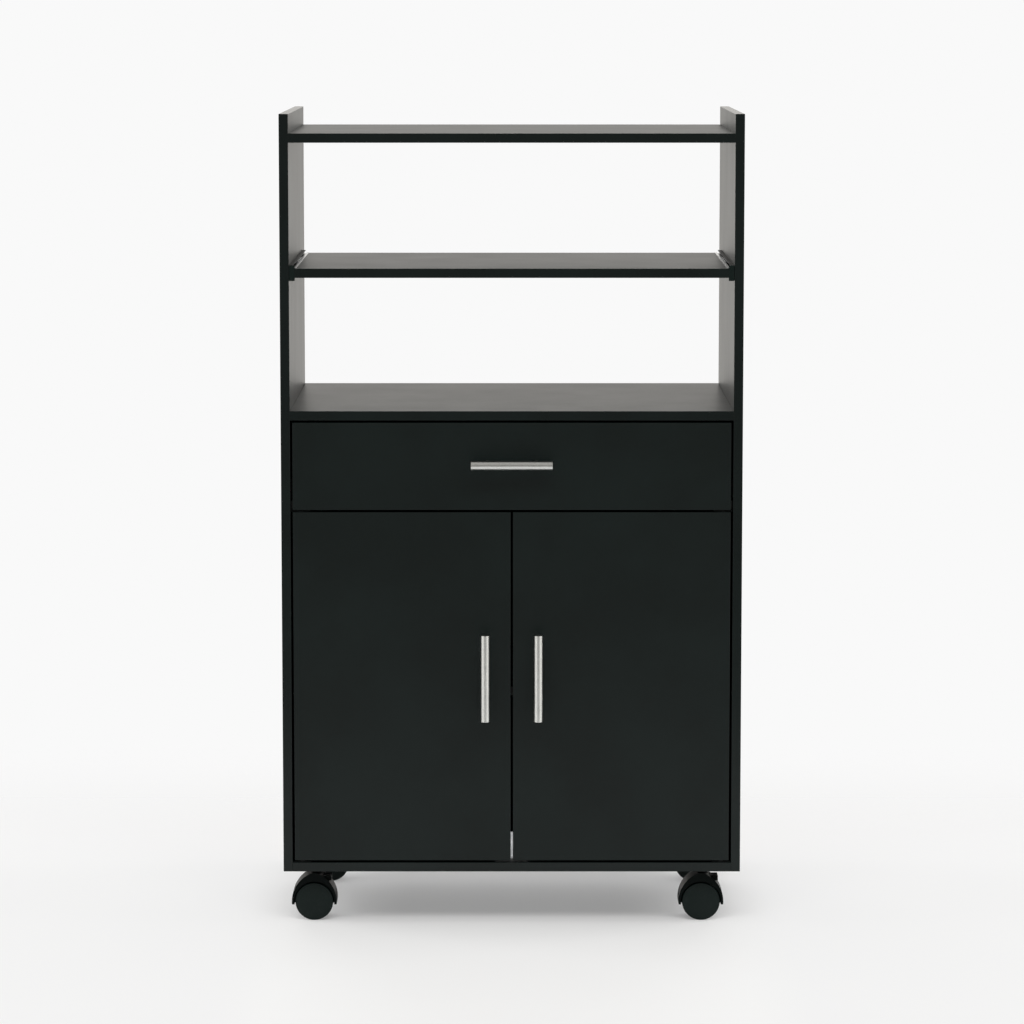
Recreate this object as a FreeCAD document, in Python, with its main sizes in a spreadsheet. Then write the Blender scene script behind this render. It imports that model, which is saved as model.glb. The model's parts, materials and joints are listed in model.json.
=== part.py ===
"""Microwave stand on casters: open top, pull-out shelf, drawer and a two-door cupboard.

Millimetres, +Z up, front towards -Y, +X to the viewer's right. The origin is the centre of
the bounding box's foot, on the floor. Every y below is measured back from the front plane,
the plane of the door faces and of the side panels' front edges.
"""
import FreeCAD, Part
import os
import re
import Sketcher
from FreeCAD import Placement, Rotation, Vector

doc = FreeCAD.newDocument("MicrowaveStand")

# ---------------------------------------------------------------- driving dimensions
SIZES = [
    # carcass
    ("width", 600, "over the two side panels"),
    ("depth", 400, "of the side panels"),
    ("stand_height", 1062, "floor to the side panels' top edges"),
    ("board", 12, "laminated particle board, every panel and front"),
    ("hardboard", 3, "back panel and drawer bottom"),
    ("floor_gap", 70, "floor to the underside of the cupboard, the casters' height"),
    ("counter_height", 678, "floor to the worktop's top face"),
    ("shelf_height", 863, "floor to the pull-out shelf's top face"),
    ("top_drop", 25, "top shelf's top face below the side panels' top edges"),
    ("front_gap", 3, "shadow gap round the drawer front and the doors"),
    ("divider_setback", 13.5, "divider's front edge behind the front plane"),
    ("back_margin", 2, "back panel's edges inside the carcass outline"),
    # knock-down fittings
    ("cam_inset", 88, "cam fittings from the front and the back of the side panels"),
    ("cam_backset", 24, "cam centre from the board's end"),
    ("cam_radius", 6, ""),
    ("cam_depth", 9.5, ""),
    ("bolt_root_radius", 2.5, "threaded root in the side panel"),
    ("bolt_root", 9, "its depth"),
    ("bolt_radius", 2, "plain shank in the board's end"),
    ("bolt_head_radius", 3, ""),
    ("bolt_head", 4, ""),
    ("bore_play", 0.3, "radial play of a fitting in its drilled hole"),
    ("nail_radius", 0.8, ""),
    ("nail_length", 16, ""),
    ("nail_head_radius", 2.3, ""),
    ("nail_head", 0.6, ""),
    ("nail_edge", 60, "end nails from the back panel's corners"),
    ("screw_radius", 1.6, "chipboard screw"),
    ("screw_length", 9, ""),
    ("screw_head_radius", 3, ""),
    ("screw_head", 1, ""),
    # loose cupboard shelf
    ("pin_radius", 2.5, ""),
    ("pin_seat", 8, "depth of a pin in its hole"),
    ("pin_peg", 7, "length that carries the shelf"),
    ("pin_collar_radius", 4, ""),
    ("pin_collar", 1.5, ""),
    ("pin_inset", 45, "pin columns from the shelf's front and back edges"),
    ("pin_pitch", 32, "between the holes of a column"),
    ("pin_height", 215, "middle hole above the cupboard floor"),
    ("loose_shelf_play", 2, "between the loose shelf's ends and the side panels"),
    ("loose_shelf_setback", 30, "loose shelf's front edge behind the front plane"),
    # pull-out shelf and its ball slides
    ("shelf_clearance", 55, "pull-out shelf's back edge before the side panels' back edges"),
    ("slide_width", 7.5, "side panel to shelf end"),
    ("slide_shortfall", 10, "a slide is this much shorter than the shelf is deep"),
    ("slide_sheet", 1, "sheet thickness of a slide"),
    ("slide_lip", 3, "width of the bright lip over the shelf's end"),
    ("slide_flange", 5, "inside half height of the sliding channel"),
    ("rail_reach", 5, "width of the fixed rail's flanges"),
    ("slide_play", 0.5, "between the end cap and the side panel"),
    ("slide_screw_inset", 20, "a slide's screws from its ends"),
    ("cap_length", 5, "black cap over the front end of a slide"),
    ("ball_radius", 1.45, ""),
    ("ball_play", 0.05, "radial play of a ball between its races"),
    ("ball_pitch", 24, "between balls"),
    ("ball_offset", 3.5, "ball centres from the side panel"),
    ("cage_sheet", 0.6, ""),
    ("cage_play", 0.2, "round the cage and its balls"),
    ("cage_reach", 5.8, "side panel to the cage's edge"),
    ("cage_length", 104, ""),
    ("cage_inset", 112, "cage's front end behind the rail's front end"),
    # drawer
    ("drawer_front_height", 114, ""),
    ("drawer_side_play", 12.5, "between a drawer side and the side panel"),
    ("drawer_side_height", 80, ""),
    ("drawer_clearance", 38, "drawer's back end before the back panel"),
    ("drawer_floor_rise", 10, "drawer bottom above the sides' lower edges"),
    ("groove_depth", 5, "of the drawer bottom's groove"),
    ("groove_play", 0.2, "drawer bottom in its groove"),
    ("drawer_back_drop", 10, "drawer back's top edge below the sides' top edges"),
    ("dowel_radius", 3, ""),
    ("dowel_length", 20, ""),
    ("dowel_bite", 8, "dowel length in the drawer front, and in the sides at the back"),
    ("dowel_inset", 18, "dowels from a drawer side's upper and lower edges"),
    # drawer runners
    ("runner_sheet", 1.2, ""),
    ("runner_rise", 3, "rail's underside above the divider"),
    ("runner_setback", 2, "runners' front ends behind the drawer front"),
    ("lip_start", 3, "side panel to the edge of the drawer runner's lip"),
    ("runner_reach", 10.5, "rail's flange width"),
    ("runner_shortfall", 5, "a runner is this much shorter than a drawer side"),
    ("runner_screw_inset", 45, "a runner's screws from its ends"),
    ("roller_radius", 10, ""),
    ("roller_width", 6, ""),
    ("roller_offset", 3.5, "side panel to the roller's outer face"),
    ("roller_inset", 14, "roller centre from the end that carries it"),
    ("roller_lift", 0.5, "front rollers stand this much above the rear ones"),
    ("rolling_play", 0.1, "between a roller and its track"),
    ("roller_pin_radius", 2.5, ""),
    ("roller_pin_head_radius", 4, ""),
    ("roller_pin_head", 1, ""),
    ("shaft_play", 0.05, "radial play of a pin in a turning bore"),
    ("runner_foot", 12, "flange under the drawer side"),
    # bar handles
    ("bar_radius", 6, ""),
    ("bar_reach", 32, "handle's front above the front plane"),
    ("drawer_bar", 106, "length of the drawer's bar"),
    ("drawer_bar_lift", 4, "drawer's bar above the middle of its front"),
    ("door_bar", 114, "length of a door's bar"),
    ("post_radius", 4, ""),
    ("post_spacing", 64, "between a handle's posts"),
    ("handle_inset", 33.1, "door handle's axis from the door's meeting edge"),
    ("handle_height", 331, "door handle's middle above the floor"),
    ("machine_screw_radius", 2, ""),
    ("machine_screw_bite", 10, "length in the post"),
    ("machine_head_radius", 4, ""),
    ("machine_head", 2.2, ""),
    # door pivots and catch
    ("pivot_inset", 10, "pivot axis from the door's hinge edge"),
    ("pivot_radius", 2.5, ""),
    ("pivot_bite", 9, "pin length in the door"),
    ("pivot_sheet", 1.2, "steel of the brackets"),
    ("pivot_headroom", 0.8, "upper plate above the door"),
    ("pivot_shoulder_radius", 4.5, ""),
    ("pivot_width", 24, ""),
    ("pivot_length", 44, "lower plate, front to back"),
    ("pivot_setback", 2, "plates' front edges behind the front plane"),
    ("catch_width", 44, ""),
    ("catch_height", 38, ""),
    ("catch_sheet", 1.5, ""),
    ("catch_foot", 26, ""),
    ("catch_gap", 0.3, "between magnet and strike plate"),
    ("magnet_depth", 3.2, ""),
    ("magnet_start", 4, "magnet and strike plate from the middle"),
    ("magnet_rise", 18, "above the cupboard floor"),
    ("magnet_width", 14, ""),
    ("magnet_height", 12, ""),
    ("strike_width", 16, ""),
    ("strike_height", 22, ""),
    ("strike_sheet", 1, ""),
    # casters
    ("wheel_radius", 25, ""),
    ("wheel_width", 13, ""),
    ("web_half", 6, "half thickness of the housing between the wheels"),
    ("wheel_play", 0.5, "between a wheel and the housing"),
    ("wheel_round", 2.5, "chamfer at the wheel's outer rim"),
    ("axle_radius", 3, ""),
    ("trail", 5.5, "wheel axis behind the swivel axis"),
    ("caster_inset", 44.5, "swivel axis from the side panel's outer face"),
    ("caster_setback", 40, "front swivel axes from the front of the side panels"),
    ("caster_back_setback", 116, "back swivel axes from the back of the side panels"),
    ("plate_size", 38, ""),
    ("plate_sheet", 2, ""),
    ("plate_hole_inset", 5, ""),
    ("kingpin_radius", 3.5, ""),
    ("kingpin_length", 26, "below the plate"),
    ("swivel_collar_radius", 7, ""),
    ("hood_half", 29.6, "hood's half width at the axle"),
    ("hood_crown", 38, "hood's top above the axle"),
    ("hood_skirt", 4, "hood's lower edge below the axle"),
    ("hood_cheek", 12, "hood's reach over each wheel"),
    ("tread_play", 1.5, "between tread and hood"),
    ("hub_radius", 8, "housing round the axle"),
    ("lever_near", 12.3, "brake lever's inner face from the axle"),
    ("lever_far", 19.5, "its outer face"),
    ("lever_half", 11, "its half width"),
    ("lever_top", 33, "its top above the axle"),
    ("lever_pad_reach", 22.5, "outer end of the pad on the lever, from the axle"),
    ("lever_pad_height", 6, ""),
    ("lever_play", 0.3, "at the sides, in the hood's slot"),
    ("lever_swing", 0.9, "room for the lever's inner and outer faces as it turns"),
    ("slot_foot", 15, "floor of the slot above the axle"),
    ("shoe_play", 1.3, "between brake shoe and tread, brake off"),
    ("trunnion_radius", 1.8, ""),
    ("trunnion_length", 1.5, ""),
    ("trunnion_rise", 27.5, "lever's pivot above the axle"),
    ("trunnion_out", 13.8, "lever's pivot beside the axle"),
]

# Places that follow from the sizes, each written with the names above.
PLACES = [
    ("front", "(bar_reach - depth - hardboard - nail_head) / 2"),
    ("half", "width / 2"),
    ("inner", "half - board"),
    ("board_middle", "board / 2"),
    ("bottom_top", "floor_gap + board"),
    ("counter_bottom", "counter_height - board"),
    ("top_shelf_top", "stand_height - top_drop"),
    ("top_shelf_bottom", "top_shelf_top - board"),
    ("front_width", "2 * inner - 2 * front_gap"),
    ("drawer_front_top", "counter_bottom - front_gap"),
    ("drawer_front_bottom", "drawer_front_top - drawer_front_height"),
    ("door_top", "drawer_front_bottom - front_gap"),
    ("door_bottom", "bottom_top + front_gap"),
    ("door_height", "door_top - door_bottom"),
    ("door_width", "(front_width - front_gap) / 2"),
    ("divider_bottom", "door_top + pivot_headroom + pivot_sheet"),
    ("divider_top", "divider_bottom + board"),
    ("cam_back", "depth - cam_inset"),
    ("bolt_length", "cam_backset + bolt_head / 2"),
    ("nail_bottom", "floor_gap + board_middle"),
    ("nail_top", "counter_height - board_middle"),
    # loose shelf
    ("peg_level", "bottom_top + pin_height"),
    ("loose_shelf_bottom", "peg_level + pin_radius"),
    ("loose_shelf_depth", "depth - loose_shelf_setback - pin_inset / 3"),
    ("pin_front", "loose_shelf_setback + pin_inset"),
    ("pin_back", "loose_shelf_setback + loose_shelf_depth - pin_inset"),
    # pull-out shelf
    ("shelf_half", "inner - slide_width"),
    ("shelf_depth", "depth - shelf_clearance"),
    ("slide_length", "shelf_depth - slide_shortfall"),
    ("shelf_bottom", "shelf_height - board"),
    ("slide_level", "shelf_bottom + board_middle"),
    ("race_inner", "slide_flange + slide_sheet"),
    ("ball_level", "race_inner + ball_radius + ball_play"),
    ("rail_half", "ball_level + ball_radius + ball_play + slide_sheet"),
    ("cage_half", "ball_level + cage_sheet / 2"),
    ("cage_web", "slide_sheet + cage_play"),
    ("channel_start", "cage_web + cage_sheet + 2 * cage_play"),
    ("web_face", "slide_width - slide_sheet"),
    ("lip_edge", "web_face + slide_lip"),
    ("lip_level", "board_middle + slide_sheet"),
    # drawer
    ("drawer_half", "inner - drawer_side_play"),
    ("drawer_length", "depth - board - drawer_clearance"),
    ("runner_length", "drawer_length - runner_shortfall"),
    ("drawer_inner", "drawer_half - board"),
    ("track", "divider_top + runner_rise + runner_sheet"),
    ("rear_roller_level", "track + roller_radius + rolling_play"),
    ("front_roller_level", "rear_roller_level + roller_lift"),
    ("lip_bottom", "front_roller_level + roller_radius + rolling_play"),
    ("lip_top", "lip_bottom + runner_sheet"),
    ("rail_top", "lip_top + roller_lift + runner_sheet"),
    ("drawer_base", "track + runner_rise"),
    ("drawer_top", "drawer_base + drawer_side_height"),
    ("drawer_floor", "drawer_base + drawer_floor_rise"),
    ("drawer_end", "board + drawer_length"),
    ("drawer_back_top", "drawer_top - drawer_back_drop"),
    ("runner_front", "board + runner_setback"),
    ("runner_end", "runner_front + runner_length"),
    ("front_roller_place", "runner_front + roller_inset"),
    ("rear_roller_place", "drawer_end - roller_inset"),
    # handles
    ("bar_axis", "bar_reach - bar_radius"),
    ("post_half", "post_spacing / 2"),
    ("handle_x", "front_gap / 2 + handle_inset"),
    ("drawer_handle_z", "drawer_front_bottom + drawer_front_height / 2 + drawer_bar_lift"),
    # pivots and catch
    ("pivot_x", "inner - front_gap - pivot_inset"),
    ("pivot_y", "board_middle"),
    ("pivot_screw_front", "divider_setback + screw_head_radius + pivot_sheet"),
    ("pivot_screw_back", "pivot_setback + pivot_length - 2 * screw_head_radius"),
    ("magnet_y", "board + strike_sheet + catch_gap"),
    ("catch_y", "magnet_y + magnet_depth"),
    ("magnet_z", "bottom_top + magnet_rise"),
    # casters
    ("caster_x", "half - caster_inset"),
    ("caster_back", "depth - caster_back_setback"),
    ("plate_bottom", "floor_gap - plate_sheet"),
    ("plate_hole", "plate_size / 2 - plate_hole_inset"),
    ("wheel_inner", "web_half + wheel_play"),
    ("wheel_outer", "wheel_inner + wheel_width"),
    ("axle_half", "wheel_outer - 2"),
    ("wheel_x", "caster_x - trail"),
    ("hood_top", "wheel_radius + hood_crown"),
    ("collar_height", "plate_bottom - hood_top - rolling_play"),
    ("hood_radius", "(hood_half * hood_half + hood_crown * hood_crown) / (2 * hood_half) + 1"),
    ("hood_centre", "hood_radius - hood_half"),
    ("hood_width_half", "web_half + hood_cheek"),
]

OWNER = {name: "Sizes" for name, _, _ in SIZES}
OWNER.update({name: "Places" for name, _ in PLACES})


def bound(formula):
    """Point each name in a formula at the sheet that holds it."""
    def owned(match):
        name = match.group()
        return OWNER[name] + "." + name if name in OWNER else name
    return re.sub(r"[a-z_]+", owned, str(formula))


sizes = doc.addObject("Spreadsheet::Sheet", "Sizes")
for row, (name, value, note) in enumerate(SIZES, start=1):
    sizes.set("A%d" % row, name.replace("_", " "))
    sizes.set("B%d" % row, str(value))
    sizes.set("C%d" % row, note)
    sizes.setAlias("B%d" % row, name)

places = doc.addObject("Spreadsheet::Sheet", "Places")
for row, (name, formula) in enumerate(PLACES, start=1):
    places.set("A%d" % row, name.replace("_", " "))
    places.set("B%d" % row, "=" + bound(formula))
    places.setAlias("B%d" % row, name)
doc.recompute()

# ---------------------------------------------------------------- helpers
ALONG = {
    "X": Rotation(Vector(0, 1, 0), 90),
    "Y": Rotation(Vector(1, 0, 0), -90),
    "Z": Rotation(),
    "-X": Rotation(Vector(0, 1, 0), -90),
    "-Y": Rotation(Vector(1, 0, 0), 90),
    "-Z": Rotation(Vector(1, 0, 0), 180),
}
nodes = {}


def bind(item, **formulas):
    for path, formula in formulas.items():
        item.setExpression(path.replace("__", "."), bound(formula))
    return item


def put(item, x, y, z, rotation=None):
    """Place an object: x and z in the part's frame, y back from the front plane."""
    if rotation is not None:
        item.Placement = Placement(Vector(), rotation)
    return bind(item, Placement__Base__x=x, Placement__Base__y="front + (%s)" % y,
                Placement__Base__z=z)


def block(name, low, size):
    box = doc.addObject("Part::Box", name)
    bind(box, Length=size[0], Width=size[1], Height=size[2])
    return put(box, *low)


def rod(name, axis, start, radius, length):
    cylinder = doc.addObject("Part::Cylinder", name)
    bind(cylinder, Radius=radius, Height=length)
    return put(cylinder, *start, rotation=ALONG[axis])


def group(name, parts):
    compound = doc.addObject("Part::Compound", name)
    compound.Links = parts
    return compound


def fuse(name, parts):
    union = doc.addObject("Part::MultiFuse", name)
    union.Shapes = parts
    union.Refine = True
    return union


def cut(name, base, tools):
    """Take each tool out of the base, one boolean after another."""
    for number, tool in enumerate(tools, start=1):
        step = doc.addObject("Part::Cut", name if number == len(tools) else name + "_step%d" % number)
        step.Base = base
        step.Tool = tool
        step.Refine = True
        base = step
    return base


def common(name, parts):
    overlap = doc.addObject("Part::MultiCommon", name)
    overlap.Shapes = parts
    return overlap


def mirror(name, source):
    """The left-hand twin of a right-hand piece."""
    twin = doc.addObject("Part::Mirroring", name)
    twin.Source = source
    twin.Base = Vector()
    twin.Normal = Vector(1, 0, 0)
    return twin


def copy_at(name, source, x, y, z, rotation=None):
    link = doc.addObject("App::Link", name)
    link.LinkedObject = source
    return put(link, x, y, z, rotation or Rotation())


def node(label, item):
    """Name a finished sub-part; its label is its file's name."""
    item.Label = label
    nodes[label] = item
    return item


def pair(right_label, left_label, right):
    """Register a right-hand piece and its mirrored left-hand twin."""
    node(right_label, right)
    node(left_label, mirror(left_label, right))


def profile_body(name, role, points, length=None, midplane=False, backward=False):
    """A body with one closed outline, padded by a length, or revolved when length is None."""
    body = doc.addObject("PartDesign::Body", name)
    plane = [item for item in body.Origin.OriginFeatures if item.Role == role][0]
    sketch = body.newObject("Sketcher::SketchObject", name + "_outline")
    sketch.AttachmentSupport = [(plane, "")]
    sketch.MapMode = "FlatFace"
    corners = [(value_of(x), value_of(y)) for x, y in points]
    count = len(points)
    for index in range(count):
        start = Vector(*corners[index], 0)
        end = Vector(*corners[(index + 1) % count], 0)
        sketch.addGeometry(Part.LineSegment(start, end), False)
    for index in range(count):
        sketch.addConstraint(Sketcher.Constraint("Coincident", index, 2, (index + 1) % count, 1))
    for index, (x, y) in enumerate(points):
        for kind, formula, value in (("DistanceX", x, corners[index][0]),
                                     ("DistanceY", y, corners[index][1])):
            number = sketch.addConstraint(Sketcher.Constraint(kind, -1, 1, index, 1, value))
            sketch.setExpression("Constraints[%d]" % number, bound(formula))
    doc.recompute()
    if length is None:
        solid = body.newObject("PartDesign::Revolution", name + "_turned")
        solid.Profile = sketch
        solid.ReferenceAxis = (sketch, ["V_Axis"])
        solid.Angle = 360
    else:
        solid = body.newObject("PartDesign::Pad", name + "_pad")
        solid.Profile = sketch
        solid.Midplane = midplane
        solid.Reversed = backward
        bind(solid, Length=length)
    doc.recompute()
    return body


def value_of(formula):
    return float(sizes.evalExpression(bound(formula)))


# ---------------------------------------------------------------- fasteners, one of each kind
def turned(name, points):
    """A fastener turned about its own +Z axis."""
    return profile_body(name, "XZ_Plane", points)


# The cam bolt's root points to -Z and its head lies at +Z; zero is the board's end.
cam_bolt = turned("cam_bolt", [
    ("0", "-bolt_root"), ("bolt_root_radius", "-bolt_root"), ("bolt_root_radius", "0"),
    ("bolt_radius", "0"), ("bolt_radius", "bolt_length - bolt_head"),
    ("bolt_head_radius", "bolt_length - bolt_head"), ("bolt_head_radius", "bolt_length"),
    ("0", "bolt_length")])
# Screws and nails: zero is the face that the head sits on, and the point is at -Z.
screw = turned("screw", [
    ("0", "-screw_length"), ("screw_radius", "-screw_length + 2 * screw_radius"),
    ("screw_radius", "0"), ("screw_head_radius", "screw_head"), ("0", "screw_head")])
nail = turned("nail", [
    ("0", "-nail_length"), ("nail_radius", "-nail_length + 2 * nail_radius"), ("nail_radius", "0"),
    ("nail_head_radius", "0"), ("nail_head_radius", "nail_head"), ("0", "nail_head")])
machine_screw = turned("machine_screw", [
    ("0", "-board - machine_screw_bite"), ("machine_screw_radius", "-board - machine_screw_bite"),
    ("machine_screw_radius", "0"), ("machine_head_radius", "0"),
    ("machine_head_radius", "machine_head / 2"), ("machine_head_radius / 2", "machine_head"),
    ("0", "machine_head")])
# The shelf pin: zero is the side panel's face, the seat at -Z and the peg at +Z.
shelf_pin = turned("shelf_pin", [
    ("0", "-pin_seat"), ("pin_radius", "-pin_seat"), ("pin_radius", "0"),
    ("pin_collar_radius", "0"), ("pin_collar_radius", "pin_collar"),
    ("pin_radius", "pin_collar"), ("pin_radius", "pin_collar + pin_peg"),
    ("0", "pin_collar + pin_peg")])

# Places of the chipboard screws, gathered as each fitting is built: (x, y, z, axis of the head).
screw_places = []

# ---------------------------------------------------------------- carcass boards
SIDES = (("left", "-X", "-1"), ("right", "X", "1"))
CAM_BOARDS = (("top_shelf", "top_shelf_bottom"), ("worktop", "counter_bottom"),
              ("divider", "divider_bottom"), ("bottom", "floor_gap"))
DEPTHS = (("front", "cam_inset"), ("back", "cam_back"))

cam_bolts = []
cam_locks = []
bolt_bores = {}
for board_name, underside in CAM_BOARDS:
    bolt_bores[board_name] = []
    for side, outward, sign in SIDES:
        inward = "X" if side == "left" else "-X"
        for depth_name, y in DEPTHS:
            tag = "%s_%s_%s" % (board_name, side, depth_name)
            face = sign + " * inner"
            level = underside + " + board_middle"
            cam_bolts.append(copy_at("cam_bolt_" + tag, cam_bolt, face, y, level, ALONG[inward]))
            bore = rod("bolt_bore_" + tag, inward, (face, y, level),
                       "bolt_head_radius + bore_play", "bolt_length + bore_play")
            cam = rod("cam_" + tag, "Z", (face + " - " + sign + " * cam_backset", y, underside),
                      "cam_radius", "cam_depth")
            pocket = rod("cam_bore_" + tag, "Z",
                         (face + " - " + sign + " * cam_backset", y, underside),
                         "cam_radius + bore_play", "cam_depth + bore_play")
            cam_locks.append(cut("cam_lock_" + tag, cam, [bore]))
            bolt_bores[board_name] += [bore, pocket]

cam_bolt_group = node("cam_bolts", group("cam_bolts", cam_bolts))
node("cam_locks", group("cam_locks", cam_locks))

NAIL_COLUMNS = 6
NAIL_ROWS = 7
nails = []
for column in range(NAIL_COLUMNS):
    across = "-half + nail_edge + %d * (width - 2 * nail_edge) / %d" % (column, NAIL_COLUMNS - 1)
    for row_name, level in (("foot", "nail_bottom"), ("head", "nail_top")):
        nails.append(copy_at("nail_%s_%d" % (row_name, column), nail, across,
                             "depth + hardboard", level, ALONG["Y"]))
for number in range(NAIL_ROWS):
    level = ("nail_bottom + nail_edge + %d * (nail_top - nail_bottom - 2 * nail_edge) / %d"
             % (number, NAIL_ROWS - 1))
    for side, outward, sign in SIDES:
        nails.append(copy_at("nail_%s_%d" % (side, number), nail, sign + " * (half - board_middle)",
                             "depth + hardboard", level, ALONG["Y"]))
nail_group = node("back_nails", group("back_nails", nails))

pin_bores = []
shelf_pins = []
for side, outward, sign in SIDES:
    inward = "X" if side == "left" else "-X"
    for place, y in (("front", "pin_front"), ("back", "pin_back")):
        shelf_pins.append(copy_at("shelf_pin_%s_%s" % (side, place), shelf_pin,
                                  sign + " * inner", y, "peg_level", ALONG[inward]))
        for step in (-2, -1, 0, 1, 2):
            pin_bores.append(rod("pin_bore_%s_%s_%d" % (side, place, step + 2), outward,
                                 (sign + " * inner", y, "peg_level + (%d) * pin_pitch" % step),
                                 "pin_radius", "pin_seat"))
node("shelf_pins", group("shelf_pins", shelf_pins))
pin_bore_group = group("pin_bores", pin_bores)

# ---------------------------------------------------------------- pull-out shelf
def channel(name, points, length, x, y, z):
    """A right-hand section of constant outline, run back from its front end.

    Its points are (distance from the side panel towards the middle, height).
    """
    body = profile_body(name, "XZ_Plane", [("-(%s)" % u, v) for u, v in points], length,
                        backward=True)
    return put(body, x, y, z)


shelf = block("sliding_shelf", ("-shelf_half", "0", "shelf_bottom"),
              ("2 * shelf_half", "shelf_depth", "board"))
shelf_rail = channel("shelf_rail", [
    ("0", "-rail_half"), ("rail_reach", "-rail_half"),
    ("rail_reach", "-rail_half + slide_sheet"), ("slide_sheet", "-rail_half + slide_sheet"),
    ("slide_sheet", "rail_half - slide_sheet"), ("rail_reach", "rail_half - slide_sheet"),
    ("rail_reach", "rail_half"), ("0", "rail_half")],
    "slide_length", "inner", "cap_length", "slide_level")
shelf_slide = channel("shelf_slide", [
    ("channel_start", "race_inner"), ("web_face", "race_inner"), ("web_face", "lip_level"),
    ("lip_edge", "lip_level"), ("lip_edge", "board_middle"), ("slide_width", "board_middle"),
    ("slide_width", "-race_inner"), ("channel_start", "-race_inner"),
    ("channel_start", "-slide_flange"), ("web_face", "-slide_flange"),
    ("web_face", "slide_flange"), ("channel_start", "slide_flange")],
    "slide_length", "inner", "cap_length", "slide_level")
cap = block("slide_cap_right", ("shelf_half", "0", "slide_level - rail_half"),
            ("slide_width - slide_play", "cap_length", "2 * rail_half"))

rail_screw_rows = ("cap_length + slide_screw_inset",
                   "cap_length + slide_length - slide_screw_inset")
slide_screws = []
for place, y in zip(("front", "back"), rail_screw_rows):
    for side, outward, sign in SIDES:
        inward = "X" if side == "left" else "-X"
        screw_places.append((sign + " * inner", y, "slide_level", inward))
        slide_screws.append(copy_at("slide_screw_%s_%s" % (side, place), screw,
                                    sign + " * shelf_half", y, "slide_level", ALONG[outward]))
slide_screw_group = group("shelf_slide_screws", slide_screws)

cage = channel("ball_cage", [
    ("cage_web", "-cage_half"), ("cage_reach", "-cage_half"),
    ("cage_reach", "-cage_half + cage_sheet"), ("cage_web + cage_sheet", "-cage_half + cage_sheet"),
    ("cage_web + cage_sheet", "cage_half - cage_sheet"), ("cage_reach", "cage_half - cage_sheet"),
    ("cage_reach", "cage_half"), ("cage_web", "cage_half")],
    "cage_length", "inner", "cap_length + cage_inset", "slide_level")
BALLS = 4
balls = []
ball_bores = []
for number in range(BALLS):
    y = ("cap_length + cage_inset + cage_length / 2 + %s * ball_pitch"
         % (number - (BALLS - 1) / 2))
    ball_bores.append(rod("ball_bore_%d" % number, "Z",
                          ("inner - ball_offset", y, "slide_level - rail_half"),
                          "ball_radius + cage_play / 2", "2 * rail_half"))
    for row_name, level in (("low", "-ball_level"), ("high", "ball_level")):
        ball = doc.addObject("Part::Sphere", "ball_%s_%d" % (row_name, number))
        bind(ball, Radius="ball_radius")
        balls.append(put(ball, "inner - ball_offset", y, "slide_level + " + level))
cage_right = group("ball_cage_right", [cut("ball_cage_drilled", cage, ball_bores)] + balls)
cages = group("ball_cages", [cage_right, mirror("ball_cage_left", cage_right)])

# ---------------------------------------------------------------- drawer
drawer_front = block("drawer_front_blank", ("-front_width / 2", "0", "drawer_front_bottom"),
                     ("front_width", "board", "drawer_front_height"))
drawer_side = block("drawer_side_blank", ("drawer_inner", "board", "drawer_base"),
                    ("board", "drawer_length", "drawer_side_height"))
drawer_back = block("drawer_back_blank",
                    ("-drawer_inner", "drawer_end - board", "drawer_floor + hardboard"),
                    ("2 * drawer_inner", "board", "drawer_back_top - drawer_floor - hardboard"))
tongue = "(groove_depth - groove_play)"
drawer_bottom = block("drawer_bottom",
                      ("-drawer_inner - " + tongue, "board - " + tongue, "drawer_floor"),
                      ("2 * drawer_inner + 2 * " + tongue, "drawer_length + " + tongue,
                       "hardboard"))
groove = block("drawer_groove",
               ("-drawer_inner - groove_depth", "board - groove_depth",
                "drawer_floor - groove_play"),
               ("2 * drawer_inner + 2 * groove_depth", "drawer_length + groove_depth",
                "hardboard + groove_play"))

dowels = []
for side, outward, sign in SIDES:
    middle = sign + " * (drawer_half - board_middle)"
    for row_name, level in (("low", "drawer_floor + dowel_inset"),
                            ("high", "drawer_back_top - dowel_inset")):
        dowels.append(rod("dowel_front_%s_%s" % (side, row_name), "Y",
                          (middle, "board - dowel_bite", level), "dowel_radius", "dowel_length"))
        inward = "X" if side == "left" else "-X"
        dowels.append(rod("dowel_back_%s_%s" % (side, row_name), inward,
                          (sign + " * (drawer_inner + dowel_bite)", "drawer_end - board_middle",
                           level), "dowel_radius", "dowel_length"))
dowel_group = group("drawer_dowels", dowels)

drawer_rail = channel("drawer_rail", [
    ("0", "-runner_sheet"), ("runner_reach", "-runner_sheet"), ("runner_reach", "0"),
    ("runner_sheet", "0"), ("runner_sheet", "rail_top - track - runner_sheet"),
    ("runner_reach", "rail_top - track - runner_sheet"), ("runner_reach", "rail_top - track"),
    ("0", "rail_top - track")],
    "runner_length", "inner", "runner_front", "track")
drawer_runner = channel("drawer_runner", [
    ("lip_start", "lip_bottom - track"),
    ("drawer_side_play - runner_sheet", "lip_bottom - track"),
    ("drawer_side_play - runner_sheet", "drawer_base - track - runner_sheet"),
    ("drawer_side_play + runner_foot", "drawer_base - track - runner_sheet"),
    ("drawer_side_play + runner_foot", "drawer_base - track"),
    ("drawer_side_play", "drawer_base - track"), ("drawer_side_play", "lip_top - track"),
    ("lip_start", "lip_top - track")],
    "runner_length", "inner", "runner_front", "track")

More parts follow.
